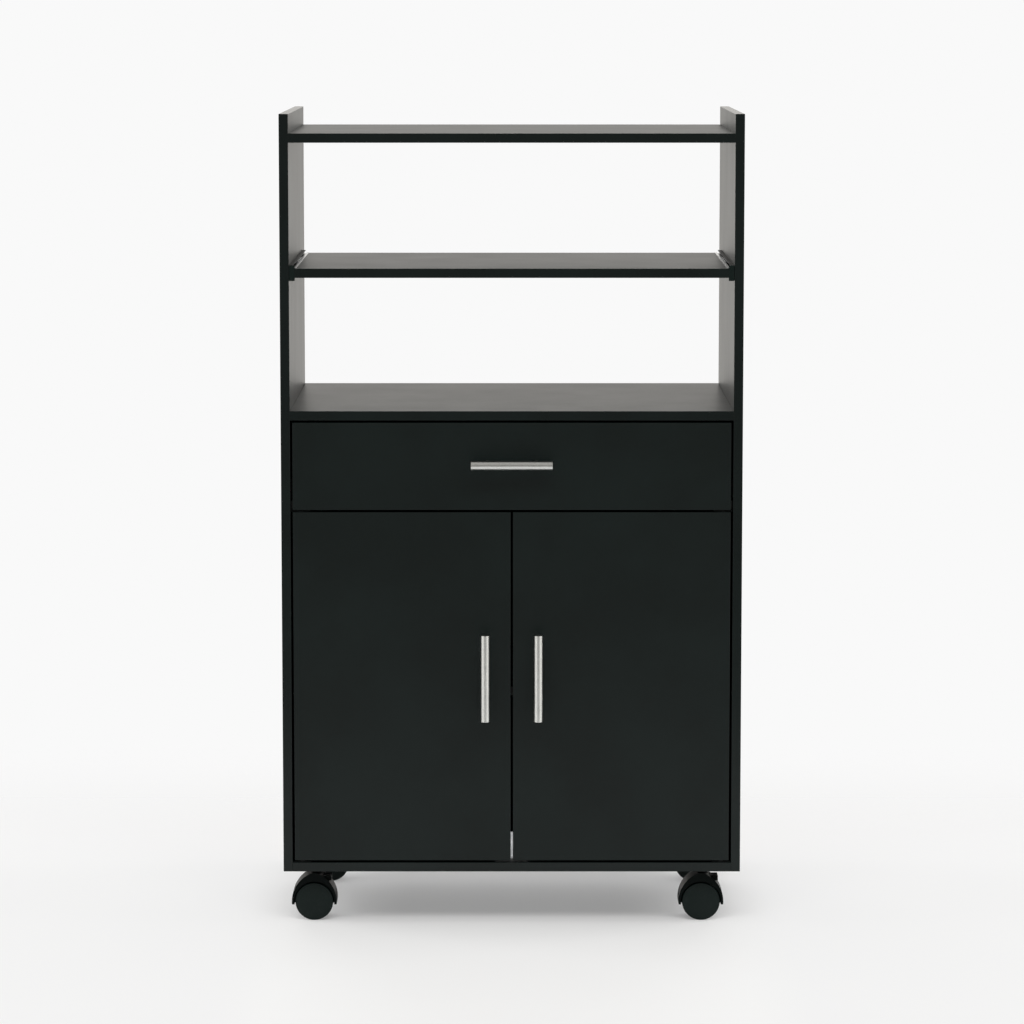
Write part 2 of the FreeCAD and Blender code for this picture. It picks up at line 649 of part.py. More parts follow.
roller_end = "(roller_offset + roller_width)"
rail_pin = fuse("front_roller_pin", [
    rod("front_pin_shank", "-X", ("inner", "front_roller_place", "front_roller_level"),
        "roller_pin_radius", roller_end + " + 3 * rolling_play"),
    rod("front_pin_head", "-X",
        ("inner - " + roller_end + " - 3 * rolling_play", "front_roller_place",
         "front_roller_level"), "roller_pin_head_radius", "roller_pin_head")])
runner_pin = fuse("rear_roller_pin", [
    rod("rear_pin_shank", "X",
        ("inner - drawer_side_play", "rear_roller_place", "rear_roller_level"),
        "roller_pin_radius", "drawer_side_play - roller_offset + 3 * rolling_play"),
    rod("rear_pin_head", "X",
        ("inner - roller_offset + 3 * rolling_play", "rear_roller_place", "rear_roller_level"),
        "roller_pin_head_radius", "roller_pin_head")])


def roller(name, y, level):
    tyre = rod(name + "_blank", "-X", ("inner - roller_offset", y, level),
               "roller_radius", "roller_width")
    bore = rod(name + "_bore", "-X", ("inner", y, level),
               "roller_pin_radius + shaft_play", "drawer_side_play")
    return cut(name, tyre, [bore])


front_roller = roller("front_roller", "front_roller_place", "front_roller_level")
rear_roller = roller("rear_roller", "rear_roller_place", "rear_roller_level")

drawer_screws = []
for place, y in (("front", "runner_front + runner_screw_inset"),
                 ("back", "runner_end - runner_screw_inset")):
    for side, outward, sign in SIDES:
        inward = "X" if side == "left" else "-X"
        screw_places.append((sign + " * inner", y, "rear_roller_level", inward))
        drawer_screws.append(copy_at("runner_screw_%s_%s" % (side, place), screw,
                                     sign + " * drawer_half", y, "drawer_base + 2 * screw_head_radius",
                                     ALONG[outward]))

# ---------------------------------------------------------------- handles
def bar_handle(name, length, x, z, upright):
    """A round bar on two posts, with the two machine screws that hold it."""
    axis = "Z" if upright else "X"

    def along(offset):
        return (x, z + " + " + offset) if upright else (x + " + " + offset, z)
    bar_x, bar_z = along("(-%s / 2)" % length)
    parts = [rod(name + "_bar", axis, (bar_x, "-bar_axis", bar_z), "bar_radius", length)]
    bolts = []
    for post, offset in (("first", "(-post_half)"), ("second", "post_half")):
        post_x, post_z = along(offset)
        parts.append(rod("%s_%s_post" % (name, post), "Y", (post_x, "-bar_axis", post_z),
                         "post_radius", "bar_axis"))
        bolts.append(copy_at("%s_%s_bolt" % (name, post), machine_screw, post_x, "board", post_z,
                             ALONG["Y"]))
    return fuse(name + "_blank", parts), bolts


drawer_handle, drawer_bolts = bar_handle("drawer_handle", "drawer_bar", "0", "drawer_handle_z",
                                         upright=False)
drawer_screw_group = group("drawer_screws", drawer_screws + drawer_bolts)
door_handle, door_bolts = bar_handle("door_handle", "door_bar", "handle_x", "handle_height",
                                     upright=True)

# ---------------------------------------------------------------- doors, pivots and catch
strike = block("strike_blank", ("magnet_start", "board", "magnet_z - strike_height / 4"),
               ("strike_width", "strike_sheet", "strike_height"))
strike_screw = copy_at("strike_screw", screw, "magnet_start + strike_width / 2", "board",
                       "magnet_z + strike_height / 4", ALONG["Y"])
door_screw_group = group("door_screws", door_bolts + [strike_screw])


def pivot(name, plate_z, shoulder_z, shoulder_height, pin_axis, board_face, screw_axis):
    """A flat steel plate with a shouldered pin that turns in the door's edge."""
    plate = block(name + "_plate", ("pivot_x - pivot_width / 2", "pivot_setback", plate_z),
                  ("pivot_width", "pivot_length", "pivot_sheet"))
    shoulder = rod(name + "_shoulder", pin_axis, ("pivot_x", "pivot_y", shoulder_z),
                   "pivot_shoulder_radius", shoulder_height)
    pin = rod(name + "_pin", pin_axis, ("pivot_x", "pivot_y", shoulder_z), "pivot_radius",
              shoulder_height + " + rolling_play + pivot_bite")
    for y in ("pivot_screw_front", "pivot_screw_back"):
        for sign in ("-1", "1"):
            screw_places.append((sign + " * pivot_x", y, board_face, screw_axis))
    return fuse(name, [plate, shoulder, pin])


lower_pivot = pivot("lower_pivot", "bottom_top", "bottom_top + pivot_sheet",
                    "(front_gap - pivot_sheet - rolling_play)", "Z", "bottom_top", "Z")
upper_pivot = pivot("upper_pivot", "divider_bottom - pivot_sheet", "divider_bottom - pivot_sheet",
                    "(pivot_headroom - rolling_play)", "-Z", "divider_bottom", "-Z")

lower_bore = rod("lower_pivot_bore", "Z", ("pivot_x", "pivot_y", "door_bottom"),
                 "pivot_radius + shaft_play", "pivot_bite + 3 * rolling_play")
upper_bore = rod("upper_pivot_bore", "-Z", ("pivot_x", "pivot_y", "door_top"),
                 "pivot_radius + shaft_play", "pivot_bite + 3 * rolling_play")
door = block("door_blank", ("front_gap / 2", "0", "door_bottom"),
             ("door_width", "board", "door_height"))

catch_foot = block("catch_foot_plate", ("-catch_width / 2", "catch_y", "bottom_top"),
                   ("catch_width", "catch_foot", "catch_sheet"))
catch_upright = block("catch_upright", ("-catch_width / 2", "catch_y", "bottom_top"),
                      ("catch_width", "catch_sheet", "catch_height"))
magnets = []
for side, outward, sign in SIDES:
    magnets.append(block("magnet_" + side,
                         ("%s * (magnet_start + magnet_width / 2) - magnet_width / 2" % sign,
                          "magnet_y", "magnet_z"),
                         ("magnet_width", "magnet_depth", "magnet_height")))
    screw_places.append((sign + " * catch_width / 3", "catch_y + catch_foot / 2 + catch_sheet",
                         "bottom_top", "Z"))
catch_bracket = fuse("catch_bracket", [catch_foot, catch_upright])

# ---------------------------------------------------------------- casters
# The front right caster is built in place, and the others come from it.
def across_y(name, x, z, radius, low, high):
    """A rod along Y between two distances from the caster's middle plane."""
    return rod(name, "Y", (x, "caster_setback + (%s)" % low, z), radius,
               "(%s) - (%s)" % (high, low))


kingpin = rod("caster_kingpin", "-Z", ("caster_x", "caster_setback", "floor_gap"),
              "kingpin_radius", "plate_sheet + kingpin_length")
plate = block("caster_plate_blank",
              ("caster_x - plate_size / 2", "caster_setback - plate_size / 2", "plate_bottom"),
              ("plate_size", "plate_size", "plate_sheet"))
collar = rod("caster_collar_blank", "-Z", ("caster_x", "caster_setback", "plate_bottom"),
             "swivel_collar_radius", "collar_height")
caster_plate = group("caster_plate", [cut("caster_plate_bored", plate, [kingpin]),
                                      cut("caster_collar", collar, [kingpin]), kingpin])

hood_bound = block("hood_bound",
                   ("wheel_x - hood_half - 1", "caster_setback - hood_width_half",
                    "wheel_radius - hood_skirt"),
                   ("2 * hood_half + 2", "2 * hood_width_half", "hood_crown + hood_skirt"))
hood = common("hood_outline", [
    across_y("hood_flank_near", "wheel_x + hood_centre", "wheel_radius", "hood_radius",
             "-hood_width_half", "hood_width_half"),
    across_y("hood_flank_far", "wheel_x - hood_centre", "wheel_radius", "hood_radius",
             "-hood_width_half", "hood_width_half"),
    hood_bound])
wells = [across_y("wheel_well_front", "wheel_x", "wheel_radius", "wheel_radius + tread_play",
                  "-hood_width_half - 1", "-web_half"),
         across_y("wheel_well_back", "wheel_x", "wheel_radius", "wheel_radius + tread_play",
                  "web_half", "hood_width_half + 1")]
hub = across_y("axle_hub", "wheel_x", "wheel_radius", "hub_radius", "-web_half", "web_half")
axle = across_y("caster_axle_front_right", "wheel_x", "wheel_radius", "axle_radius",
                "-axle_half", "axle_half")
kingpin_bore = rod("kingpin_bore", "-Z", ("caster_x", "caster_setback", "plate_bottom"),
                   "kingpin_radius + shaft_play", "kingpin_length + 3 * rolling_play")
housing_plain = cut("caster_housing_plain",
                    fuse("hood_and_hub", [cut("hood_over_wheels", hood, wells), hub]),
                    [axle, kingpin_bore])

slot_half = "(lever_half + lever_play)"
lever_slot = block("lever_slot",
                   ("wheel_x + lever_near - lever_swing", "caster_setback - " + slot_half,
                    "wheel_radius + slot_foot"),
                   ("lever_far - lever_near + 2 * lever_swing", "2 * " + slot_half,
                    "hood_crown"))
trunnion_bore = across_y("trunnion_bore", "wheel_x + trunnion_out",
                         "wheel_radius + trunnion_rise", "trunnion_radius + shaft_play",
                         "-lever_half - trunnion_length - lever_play",
                         "lever_half + trunnion_length + lever_play")
housing_braked = cut("caster_housing_braked", housing_plain, [lever_slot, trunnion_bore])
lever_block = block("lever_block",
                    ("wheel_x + lever_near", "caster_setback - lever_half",
                     "wheel_radius + slot_foot + lever_play"),
                    ("lever_far - lever_near", "2 * lever_half",
                     "lever_top - slot_foot - lever_play"))
shoe_face = across_y("shoe_face", "wheel_x", "wheel_radius", "wheel_radius + shoe_play",
                     "-lever_half - 1", "lever_half + 1")
trunnion = across_y("trunnion", "wheel_x + trunnion_out", "wheel_radius + trunnion_rise",
                    "trunnion_radius", "-lever_half - trunnion_length",
                    "lever_half + trunnion_length")
lever_pad = block("lever_pad",
                  ("wheel_x + lever_near", "caster_setback - lever_half",
                   "wheel_radius + lever_top - lever_pad_height"),
                  ("lever_pad_reach - lever_near", "2 * lever_half", "lever_pad_height"))
lever = fuse("brake_lever",
             [cut("lever_shaped", lever_block, [shoe_face]), lever_pad, trunnion])

bore_depth = "(axle_half - wheel_inner + 3 * rolling_play)"
wheel = turned("caster_wheel", [
    ("0", bore_depth), ("axle_radius + shaft_play", bore_depth), ("axle_radius + shaft_play", "0"),
    ("wheel_radius - wheel_round / 2", "0"), ("wheel_radius", "wheel_round / 2"),
    ("wheel_radius", "wheel_width - wheel_round"),
    ("wheel_radius - wheel_round", "wheel_width"), ("0", "wheel_width")])
wheel_pair = group("caster_wheel_pair", [
    copy_at("wheel_behind", wheel, "wheel_x", "caster_setback + wheel_inner", "wheel_radius",
            ALONG["Y"]),
    copy_at("wheel_before", wheel, "wheel_x", "caster_setback - wheel_inner", "wheel_radius",
            ALONG["-Y"])])


def shifted(name, source, dx, dy):
    link = doc.addObject("App::Link", name + "_link")
    link.LinkedObject = source
    link.LinkTransform = True
    bind(link, Placement__Base__x=dx, Placement__Base__y=dy)
    return group(name, [link])


CASTERS = (("front_left", "-2 * caster_x", "0"), ("front_right", "0", "0"),
           ("back_right", "0", "caster_back - caster_setback"),
           ("back_left", "-2 * caster_x", "caster_back - caster_setback"))
plates = []
caster_screws = []
for corner, dx, dy in CASTERS:
    plates.append(shifted("caster_plate_" + corner, caster_plate, dx, dy))
    for across in ("-1", "1"):
        for back in ("-1", "1"):
            caster_screws.append(copy_at(
                "caster_screw_%s_%s_%s" % (corner, across, back), screw,
                "caster_x + %s * plate_hole + %s" % (across, dx),
                "caster_setback + %s * plate_hole + %s" % (back, dy),
                "plate_bottom + screw_head", ALONG["-Z"]))

# ---------------------------------------------------------------- screws into the boards
fitting_screws = [copy_at("fitting_screw_%d" % number, screw, x, y, z, ALONG[axis])
                  for number, (x, y, z, axis) in enumerate(screw_places)]
screw_group = node("fitting_screws", group("fitting_screws", fitting_screws + caster_screws))

# ---------------------------------------------------------------- carcass boards, drilled
side_blank = block("side_panel_blank", ("inner", "0", "floor_gap"),
                   ("board", "depth", "stand_height - floor_gap"))
pair("side_panel_right", "side_panel_left",
     cut("side_panel_right", side_blank,
         [cam_bolt_group, nail_group, pin_bore_group, screw_group]))


def full_board(name, underside, tools):
    blank = block(name + "_blank", ("-inner", "0", underside), ("2 * inner", "depth", "board"))
    return node(name, cut(name, blank, tools))


full_board("top_shelf", "top_shelf_bottom", bolt_bores["top_shelf"])
full_board("worktop", "counter_bottom", bolt_bores["worktop"] + [nail_group])
full_board("bottom_panel", "floor_gap", bolt_bores["bottom"] + [nail_group, screw_group])
divider = block("divider_blank", ("-inner", "divider_setback", "divider_bottom"),
                ("2 * inner", "depth - divider_setback", "board"))
node("divider_board", cut("divider_board", divider, bolt_bores["divider"] + [screw_group]))
back = block("back_panel_blank", ("-half + back_margin", "depth", "floor_gap + back_margin"),
             ("width - 2 * back_margin", "hardboard", "counter_height - floor_gap - 2 * back_margin"))
node("back_panel", cut("back_panel", back, [nail_group]))
node("loose_shelf", block("loose_shelf",
                          ("-inner + loose_shelf_play", "loose_shelf_setback",
                           "loose_shelf_bottom"),
                          ("2 * inner - 2 * loose_shelf_play", "loose_shelf_depth", "board")))

# ---------------------------------------------------------------- pull-out shelf, finished
node("sliding_shelf", cut("sliding_shelf_drilled", shelf, [slide_screw_group]))
pair("shelf_rail_right", "shelf_rail_left", cut("shelf_rail_right", shelf_rail, [screw_group]))
pair("shelf_slide_right", "shelf_slide_left",
     cut("shelf_slide_right", shelf_slide, [slide_screw_group]))
node("shelf_slide_screws", slide_screw_group)
node("slide_end_caps", group("slide_end_caps", [cap, mirror("slide_cap_left", cap)]))
node("ball_cages", cages)

# ---------------------------------------------------------------- drawer, finished
node("drawer_front", cut("drawer_front", drawer_front, [groove, dowel_group, drawer_screw_group]))
pair("drawer_side_right", "drawer_side_left",
     cut("drawer_side_right", drawer_side, [groove, dowel_group, drawer_screw_group]))
node("drawer_back", cut("drawer_back", drawer_back, [dowel_group]))
node("drawer_bottom", drawer_bottom)
node("drawer_dowels", dowel_group)
node("drawer_handle", cut("drawer_handle", drawer_handle, [drawer_screw_group]))
node("drawer_screws", drawer_screw_group)
pair("drawer_rail_right", "drawer_rail_left",
     cut("drawer_rail_right", fuse("drawer_rail_pinned", [drawer_rail, rail_pin]), [screw_group]))
pair("drawer_runner_right", "drawer_runner_left",
     cut("drawer_runner_right", fuse("drawer_runner_pinned", [drawer_runner, runner_pin]),
         [drawer_screw_group]))
node("front_rollers", group("front_rollers", [front_roller, mirror("front_roller_left", front_roller)]))
node("rear_rollers", group("rear_rollers", [rear_roller, mirror("rear_roller_left", rear_roller)]))

# ---------------------------------------------------------------- doors, finished
pair("door_right", "door_left",
     cut("door_right", door, [lower_bore, upper_bore, door_screw_group]))
pair("door_handle_right", "door_handle_left",
     cut("door_handle_right", door_handle, [door_screw_group]))
pair("strike_plate_right", "strike_plate_left",
     cut("strike_plate_right", strike, [door_screw_group]))
pair("door_screws_right", "door_screws_left", door_screw_group)
pivots = [cut("lower_pivot_right", lower_pivot, [screw_group]),
          cut("upper_pivot_right", upper_pivot, [screw_group])]
node("pivot_brackets", group("pivot_brackets",
                             pivots + [mirror(item.Name + "_twin", item) for item in pivots]))
node("magnetic_catch", group("magnetic_catch",
                             [cut("catch_drilled", catch_bracket, [screw_group])] + magnets))

# ---------------------------------------------------------------- casters, finished
node("caster_plates", cut("caster_plates", group("caster_plate_set", plates), [screw_group]))
for corner, dx, dy in CASTERS[:3]:
    housing = housing_braked if corner.startswith("front") else housing_plain
    pieces = [("caster_housing_", housing), ("caster_axle_", axle), ("caster_wheels_", wheel_pair)]
    if housing is housing_braked:
        pieces.append(("brake_lever_", lever))
    for label, source in pieces:
        node(label + corner, shifted(label + corner + "_placed", source, dx, dy))
# The back left caster is the twin of the back right one, so both of them trail inwards.
for label in ("caster_housing_", "caster_axle_", "caster_wheels_"):
    node(label + "back_left", mirror(label + "back_left", nodes[label + "back_right"]))

# ---------------------------------------------------------------- check and export
doc.recompute()
for item in doc.Objects:
    if "Invalid" in item.State or "Error" in item.State:
        raise RuntimeError("%s failed: %s" % (item.Label, item.State))

os.makedirs("parts", exist_ok=True)
for label, item in nodes.items():
    shape = item.Shape
    if shape.isNull() or not shape.isValid() or not shape.Solids:
        raise RuntimeError("%s has no valid solid" % label)
    shape.exportStep(os.path.join("parts", label + ".step"))
    print("%-28s %3d solid(s) %12.1f mm3" % (label, len(shape.Solids), shape.Volume))
print("%d nodes" % len(nodes))
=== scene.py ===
# %% [markdown]
# # A microwave stand on casters
# The stand is a tall, narrow carcass of black laminated board: a top shelf, a thin shelf that pulls
# out, the worktop for the oven, a drawer and a cupboard with two doors, all on four casters.
# The construction comes from a fixed frame, in metres, and this script gives every piece its
# finish. Boards keep the shape of their solid, so they start as copies of it with eased edges and
# new surfaces. Handles and wheels are turned again, because a lathe profile is smoother.

# %% Load the construction
import json
import math

import bmesh
import bpy
from mathutils import Matrix, Vector


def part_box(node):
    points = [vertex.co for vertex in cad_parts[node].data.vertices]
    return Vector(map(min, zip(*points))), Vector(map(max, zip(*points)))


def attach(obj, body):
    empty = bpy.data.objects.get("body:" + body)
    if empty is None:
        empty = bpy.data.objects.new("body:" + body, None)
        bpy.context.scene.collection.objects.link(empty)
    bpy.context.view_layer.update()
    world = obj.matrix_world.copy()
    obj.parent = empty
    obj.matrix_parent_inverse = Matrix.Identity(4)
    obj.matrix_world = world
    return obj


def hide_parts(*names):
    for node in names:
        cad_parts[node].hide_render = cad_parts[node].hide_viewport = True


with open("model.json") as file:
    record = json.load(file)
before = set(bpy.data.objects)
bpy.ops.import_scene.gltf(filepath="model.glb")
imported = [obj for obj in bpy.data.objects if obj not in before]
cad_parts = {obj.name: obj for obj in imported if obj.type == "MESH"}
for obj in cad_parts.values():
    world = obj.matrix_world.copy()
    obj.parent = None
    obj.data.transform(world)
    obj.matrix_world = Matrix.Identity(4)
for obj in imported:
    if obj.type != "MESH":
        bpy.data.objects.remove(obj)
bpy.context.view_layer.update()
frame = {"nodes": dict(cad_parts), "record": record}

MM = 0.001
front_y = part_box("door_left")[0].y
print("front plane at y =", round(front_y, 4), "nodes:", len(frame["nodes"]))

# %% [markdown]
# ## Writing shaders as sums
# A shader graph is arithmetic on sockets. Wiring each Math node by hand hides the formula, so a
# small class wraps an output socket and builds the Math node when Python adds, subtracts or
# multiplies. The second class holds one material's graph and adds every other kind of node
# through one method.

# %% Socket arithmetic
class Value:
    """An output socket that turns + - and * into Math nodes."""

    def __init__(self, graph, socket):
        self.graph = graph
        self.socket = socket

    def _math(self, operation, first, second):
        return self.graph.add("ShaderNodeMath", {"operation": operation}, {0: first, 1: second})

    def __add__(self, other):
        return self._math("ADD", self, other)

    def __sub__(self, other):
        return self._math("SUBTRACT", self, other)

    def __mul__(self, other):
        return self._math("MULTIPLY", self, other)

    def __radd__(self, other):
        return self._math("ADD", other, self)

    def __rsub__(self, other):
        return self._math("SUBTRACT", other, self)

    def __rmul__(self, other):
        return self._math("MULTIPLY", other, self)


class Graph:
    """The node graph of one material or of the world."""

    def __init__(self, tree):
        self.tree = tree
        self.tree.nodes.clear()

    def make(self, kind, settings=None, inputs=None):
        """Add a node, its settings first and then its sockets; a ramp's stops are a setting."""
        node = self.tree.nodes.new(kind)
        for name, value in (settings or {}).items():
            if name == "stops":
                ramp = node.color_ramp.elements
                while len(ramp) < len(value):
                    ramp.new(0.5)
                for element, (position, colour) in zip(ramp, value):
                    element.position = position
                    element.color = colour
            else:
                setattr(node, name, value)
        for key, value in (inputs or {}).items():
            if isinstance(value, Value):
                self.tree.links.new(value.socket, node.inputs[key])
            else:
                node.inputs[key].default_value = value
        return node

    def add(self, kind, settings=None, inputs=None, out=0):
        return Value(self, self.make(kind, settings, inputs).outputs[out])

    def blend(self, factor, first, second):
        """Mix two colours."""
        return self.add("ShaderNodeMix", {"data_type": "RGBA"}, {0: factor, 6: first, 7: second},
                        out=2)

    def smooth(self, value, low, high):
        """Zero below low, one above high, and a soft step between."""
        return self.add("ShaderNodeMapRange", {"interpolation_type": "SMOOTHSTEP"},
                        {"Value": value, "From Min": low, "From Max": high})

    def noise(self, where, scale, detail=4.0, roughness=0.5):
        return self.add("ShaderNodeTexNoise", {}, {"Vector": where, "Scale": scale,
                                                   "Detail": detail, "Roughness": roughness})

    def stretch(self, where, factors):
        """Scale coordinates, so that a noise draws out along an axis."""
        return self.add("ShaderNodeMapping", {"vector_type": "POINT"},
                        {"Vector": where, "Scale": factors})

    def bump(self, height, distance, strength=1.0):
        return self.add("ShaderNodeBump", {}, {"Height": height, "Distance": distance,
                                               "Strength": strength})


# %% One surface shader per finish
def finish_material(name, colour, roughness, normal=None, **constants):
    """A Principled material; colour, roughness and normal are functions of (graph, place)."""
    material = bpy.data.materials.new(name)
    material.use_nodes = True
    graph = Graph(material.node_tree)
    place = graph.add("ShaderNodeTexCoord", out="Object")
    inputs = {key.replace("_", " "): value for key, value in constants.items()}
    inputs["Base Color"] = colour(graph, place)
    inputs["Roughness"] = roughness(graph, place)
    if normal is not None:
        inputs["Normal"] = normal(graph, place)
    shader = graph.add("ShaderNodeBsdfPrincipled", {}, inputs)
    graph.make("ShaderNodeOutputMaterial", {}, {"Surface": shader})
    return material


def uneven(base, spread, scale, detail=4.0):
    """A roughness that wanders over a range; a higher scale makes finer patches."""
    return lambda graph, place: base + spread * graph.noise(place, scale, detail)


def fine_relief(scale, depth, detail=3.0, strength=0.8):
    """A relief of fine grain; the depth is in metres."""
    return lambda graph, place: graph.bump(graph.noise(place, scale, detail), depth, strength)


def rgb(red, green, blue):
    """A colour written in sRGB steps of 0 to 255, as linear light."""
    def linear(step):
        level = step / 255
        return level / 12.92 if level <= 0.04045 else ((level + 0.055) / 1.055) ** 2.4
    return (linear(red), linear(green), linear(blue), 1.0)


print("shader helpers ready")

# %% [markdown]
# ## Black laminate
# The boards are particle board pressed with a black melamine foil. The foil is nearly black with a
# faint cold tint, satin rather than glossy, and has a very fine pearl grain that breaks up
# reflections. The strong grey sheen on the shelves' tops is plain Fresnel reflection at a low
# angle, so it needs no colour of its own. The edge band is a strip of the same foil in thicker
# plastic, a good deal smoother, and the drilled holes show the raw chipboard inside.

# %% Laminate, edge band and raw chipboard
LAMINATE_DARK = rgb(12, 20, 19)
LAMINATE_LIGHT = rgb(16, 25, 24)
SOFT_SHINE = 0.24


def foil_colour(graph, place):
    cloud = graph.noise(place, 9.0, 3.0)
    return graph.blend(graph.smooth(cloud, 0.3, 0.7), LAMINATE_DARK, LAMINATE_LIGHT)


def foil_roughness(graph, place):
    wiped = graph.noise(graph.stretch(place, (1.0, 1.0, 0.35)), 14.0, 5.0, 0.6)
    pearl = graph.noise(place, 1400.0, 1.0)
    return 0.30 + 0.07 * wiped + 0.05 * pearl


def foil_grain(graph, place):
    pearl = graph.noise(place, 1900.0, 2.0, 0.6)
    ripple = graph.noise(place, 55.0, 2.0)
    return graph.bump(pearl + 2.2 * ripple, 0.000018, 0.9)


laminate = finish_material("black_laminate_foil", foil_colour, foil_roughness, foil_grain,
                           Specular_IOR_Level=SOFT_SHINE)


edge_band = finish_material("black_edge_band", foil_colour, uneven(0.16, 0.08, 320.0, 2.0),
                            fine_relief(700.0, 0.00001, 2.0), Specular_IOR_Level=SOFT_SHINE)


def chip_colour(graph, place):
    flakes = graph.add("ShaderNodeTexVoronoi", {"feature": "F1"},
                       {"Vector": graph.stretch(place, (1.0, 0.5, 1.6)), "Scale": 520.0},
                       out="Color")
    tone = graph.add("ShaderNodeSeparateColor", {}, {0: flakes})
    return graph.blend(tone, rgb(126, 96, 62), rgb(186, 152, 108))


chipboard = finish_material("raw_chipboard", chip_colour, uneven(0.85, 0.1, 300.0),
                            fine_relief(900.0, 0.00012))
print("board materials:", laminate.name, edge_band.name, chipboard.name)

# %% [markdown]
# ## Copies with eased edges
# A sawn and banded board has no knife-sharp corner: the band is scraped to a radius of about half a
# millimetre, which is what catches the light. A solid from the frame has perfectly sharp edges, so
# each board is copied, its coplanar triangles are dissolved, and only its outer edges are rounded.
# Pressed steel and moulded plastic get the same treatment with their own radius.

# %% Copy a solid and round its edges
def clean_copy(node):
    """The node's mesh as a bmesh, welded, with flat areas joined."""
    mesh = bmesh.new()
    mesh.from_mesh(frame["nodes"][node].data)
    bmesh.ops.remove_doubles(mesh, verts=mesh.verts, dist=1e-6)
    bmesh.ops.dissolve_limit(mesh, angle_limit=math.radians(0.4), verts=mesh.verts,
                             edges=mesh.edges)
    return mesh


def sharp_edges(mesh, angle=40.0, keep=lambda edge: True):
    return [edge for edge in mesh.edges if len(edge.link_faces) == 2
            and edge.calc_face_angle(0.0) > math.radians(angle) and keep(edge)]


def round_edges(mesh, edges, radius, segments=2):
    if edges:
        bmesh.ops.bevel(mesh, geom=edges, offset=radius, segments=segments, profile=0.5,
                        affect="EDGES", clamp_overlap=True)


def to_piece(name, mesh, materials, body, slot, replaced=(), choose=None, smooth=35.0):
    """Turn a bmesh into a piece that rides on a body and stands for nodes of the frame."""
    data = bpy.data.meshes.new(name)
    bmesh.ops.recalc_face_normals(mesh, faces=mesh.faces)
    if choose is not None:
        for face in mesh.faces:
            face.material_index = choose(face)
    for face in mesh.faces:
        face.smooth = True
    mesh.to_mesh(data)
    mesh.free()
    data.set_sharp_from_angle(angle=math.radians(smooth))
    for material in materials:
        data.materials.append(material)
    piece = bpy.data.objects.new(name, data)
    bpy.context.scene.collection.objects.link(piece)
    even = piece.modifiers.new("even_normals", "WEIGHTED_NORMAL")
    even.keep_sharp = True
    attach(piece, body)
    if replaced:
        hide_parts(*replaced)
    return piece


def body_of_node(node):
    groups = frame["record"]["behaviour"]["bodies"]
    return next(body for body, members in groups.items() if node in members)


def slot_of_node(node):
    return next(part["material_slot"] for part in frame["record"]["subparts"]
                if part["node"] == node)


# %% Boards
BOARD_EASE = 0.45 * MM
OUTER = 0.05 * MM


def on_outside(point, low, high):
    return any(abs(point[axis] - low[axis]) < OUTER or abs(point[axis] - high[axis]) < OUTER
               for axis in range(3))


def dress_board(node):
    """A board in laminate, its narrow edges in edge band, its bored holes in raw chipboard."""
    low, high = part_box(node)
    size = high - low
    thin = min(range(3), key=lambda axis: size[axis])
    mesh = clean_copy(node)

    def outline(edge):
        hits = 0
        for axis in range(3):
            ends = [vert.co[axis] for vert in edge.verts]
            hits += all(abs(end - low[axis]) < OUTER or abs(end - high[axis]) < OUTER
                        for end in ends) and abs(ends[0] - ends[1]) < OUTER
        return hits >= 2
    round_edges(mesh, sharp_edges(mesh, 60.0, outline), BOARD_EASE)

    def surface(face):
        middle = face.calc_center_median()
        normal = face.normal
        if abs(normal[thin]) > 0.9 and on_outside(middle, low, high):
            return 0
        inside = all(low[axis] + BOARD_EASE * 1.5 < middle[axis] < high[axis] - BOARD_EASE * 1.5
                     for axis in range(3))
        return 2 if inside else 1
    return to_piece(node + "_board", mesh, [laminate, edge_band, chipboard], body_of_node(node),
                    slot_of_node(node), [node], surface)


BOARDS = ["side_panel_left", "side_panel_right", "top_shelf", "worktop", "divider_board",
          "bottom_panel", "loose_shelf", "sliding_shelf", "drawer_front", "drawer_side_left",
          "drawer_side_right", "drawer_back", "door_left", "door_right"]
boards = {node: dress_board(node) for node in BOARDS}
print("boards:", {name: len(piece.data.polygons) for name, piece in boards.items()})

# %% [markdown]
# ## Hardboard
# The back panel and the drawer's bottom are 3 mm hardboard: pressed wood fibre, brown, with a fine
# screen pattern on the rough side and a lacquered face towards the room. The fibre is short dark
# and light streaks at random angles, made from two stretched noises; the screen is a fine weave of
# two waves. The face that looks into the stand is printed black, so the inside stays dark.

# %% Hardboard, plain and printed
def fibre_colour(graph, place):
    along = graph.noise(graph.stretch(place, (60.0, 60.0, 900.0)), 1.0, 4.0, 0.65)
    across = graph.noise(graph.stretch(place, (800.0, 90.0, 90.0)), 1.0, 4.0, 0.65)
    cloud = graph.noise(place, 7.0, 3.0)
    tone = graph.smooth(0.46 * along + 0.46 * across + 0.08 * cloud, 0.36, 0.62)
    return graph.blend(tone, rgb(116, 84, 58), rgb(150, 114, 80))


def screen_relief(graph, place):
    rows = graph.add("ShaderNodeTexWave", {"bands_direction": "Z"},
                     {"Vector": place, "Scale": 160.0, "Distortion": 1.5})
    columns = graph.add("ShaderNodeTexWave", {"bands_direction": "X"},
                        {"Vector": place, "Scale": 160.0, "Distortion": 1.5})
    return graph.bump(rows * columns + 0.7 * graph.noise(place, 420.0, 3.0), 0.00012, 0.8)


hardboard = finish_material("hardboard_fibre", fibre_colour, uneven(0.72, 0.16, 260.0),
                            screen_relief)
printed_board = finish_material("printed_hardboard", foil_colour, uneven(0.46, 0.1, 90.0),
                                fine_relief(620.0, 0.00003), Specular_IOR_Level=0.3)


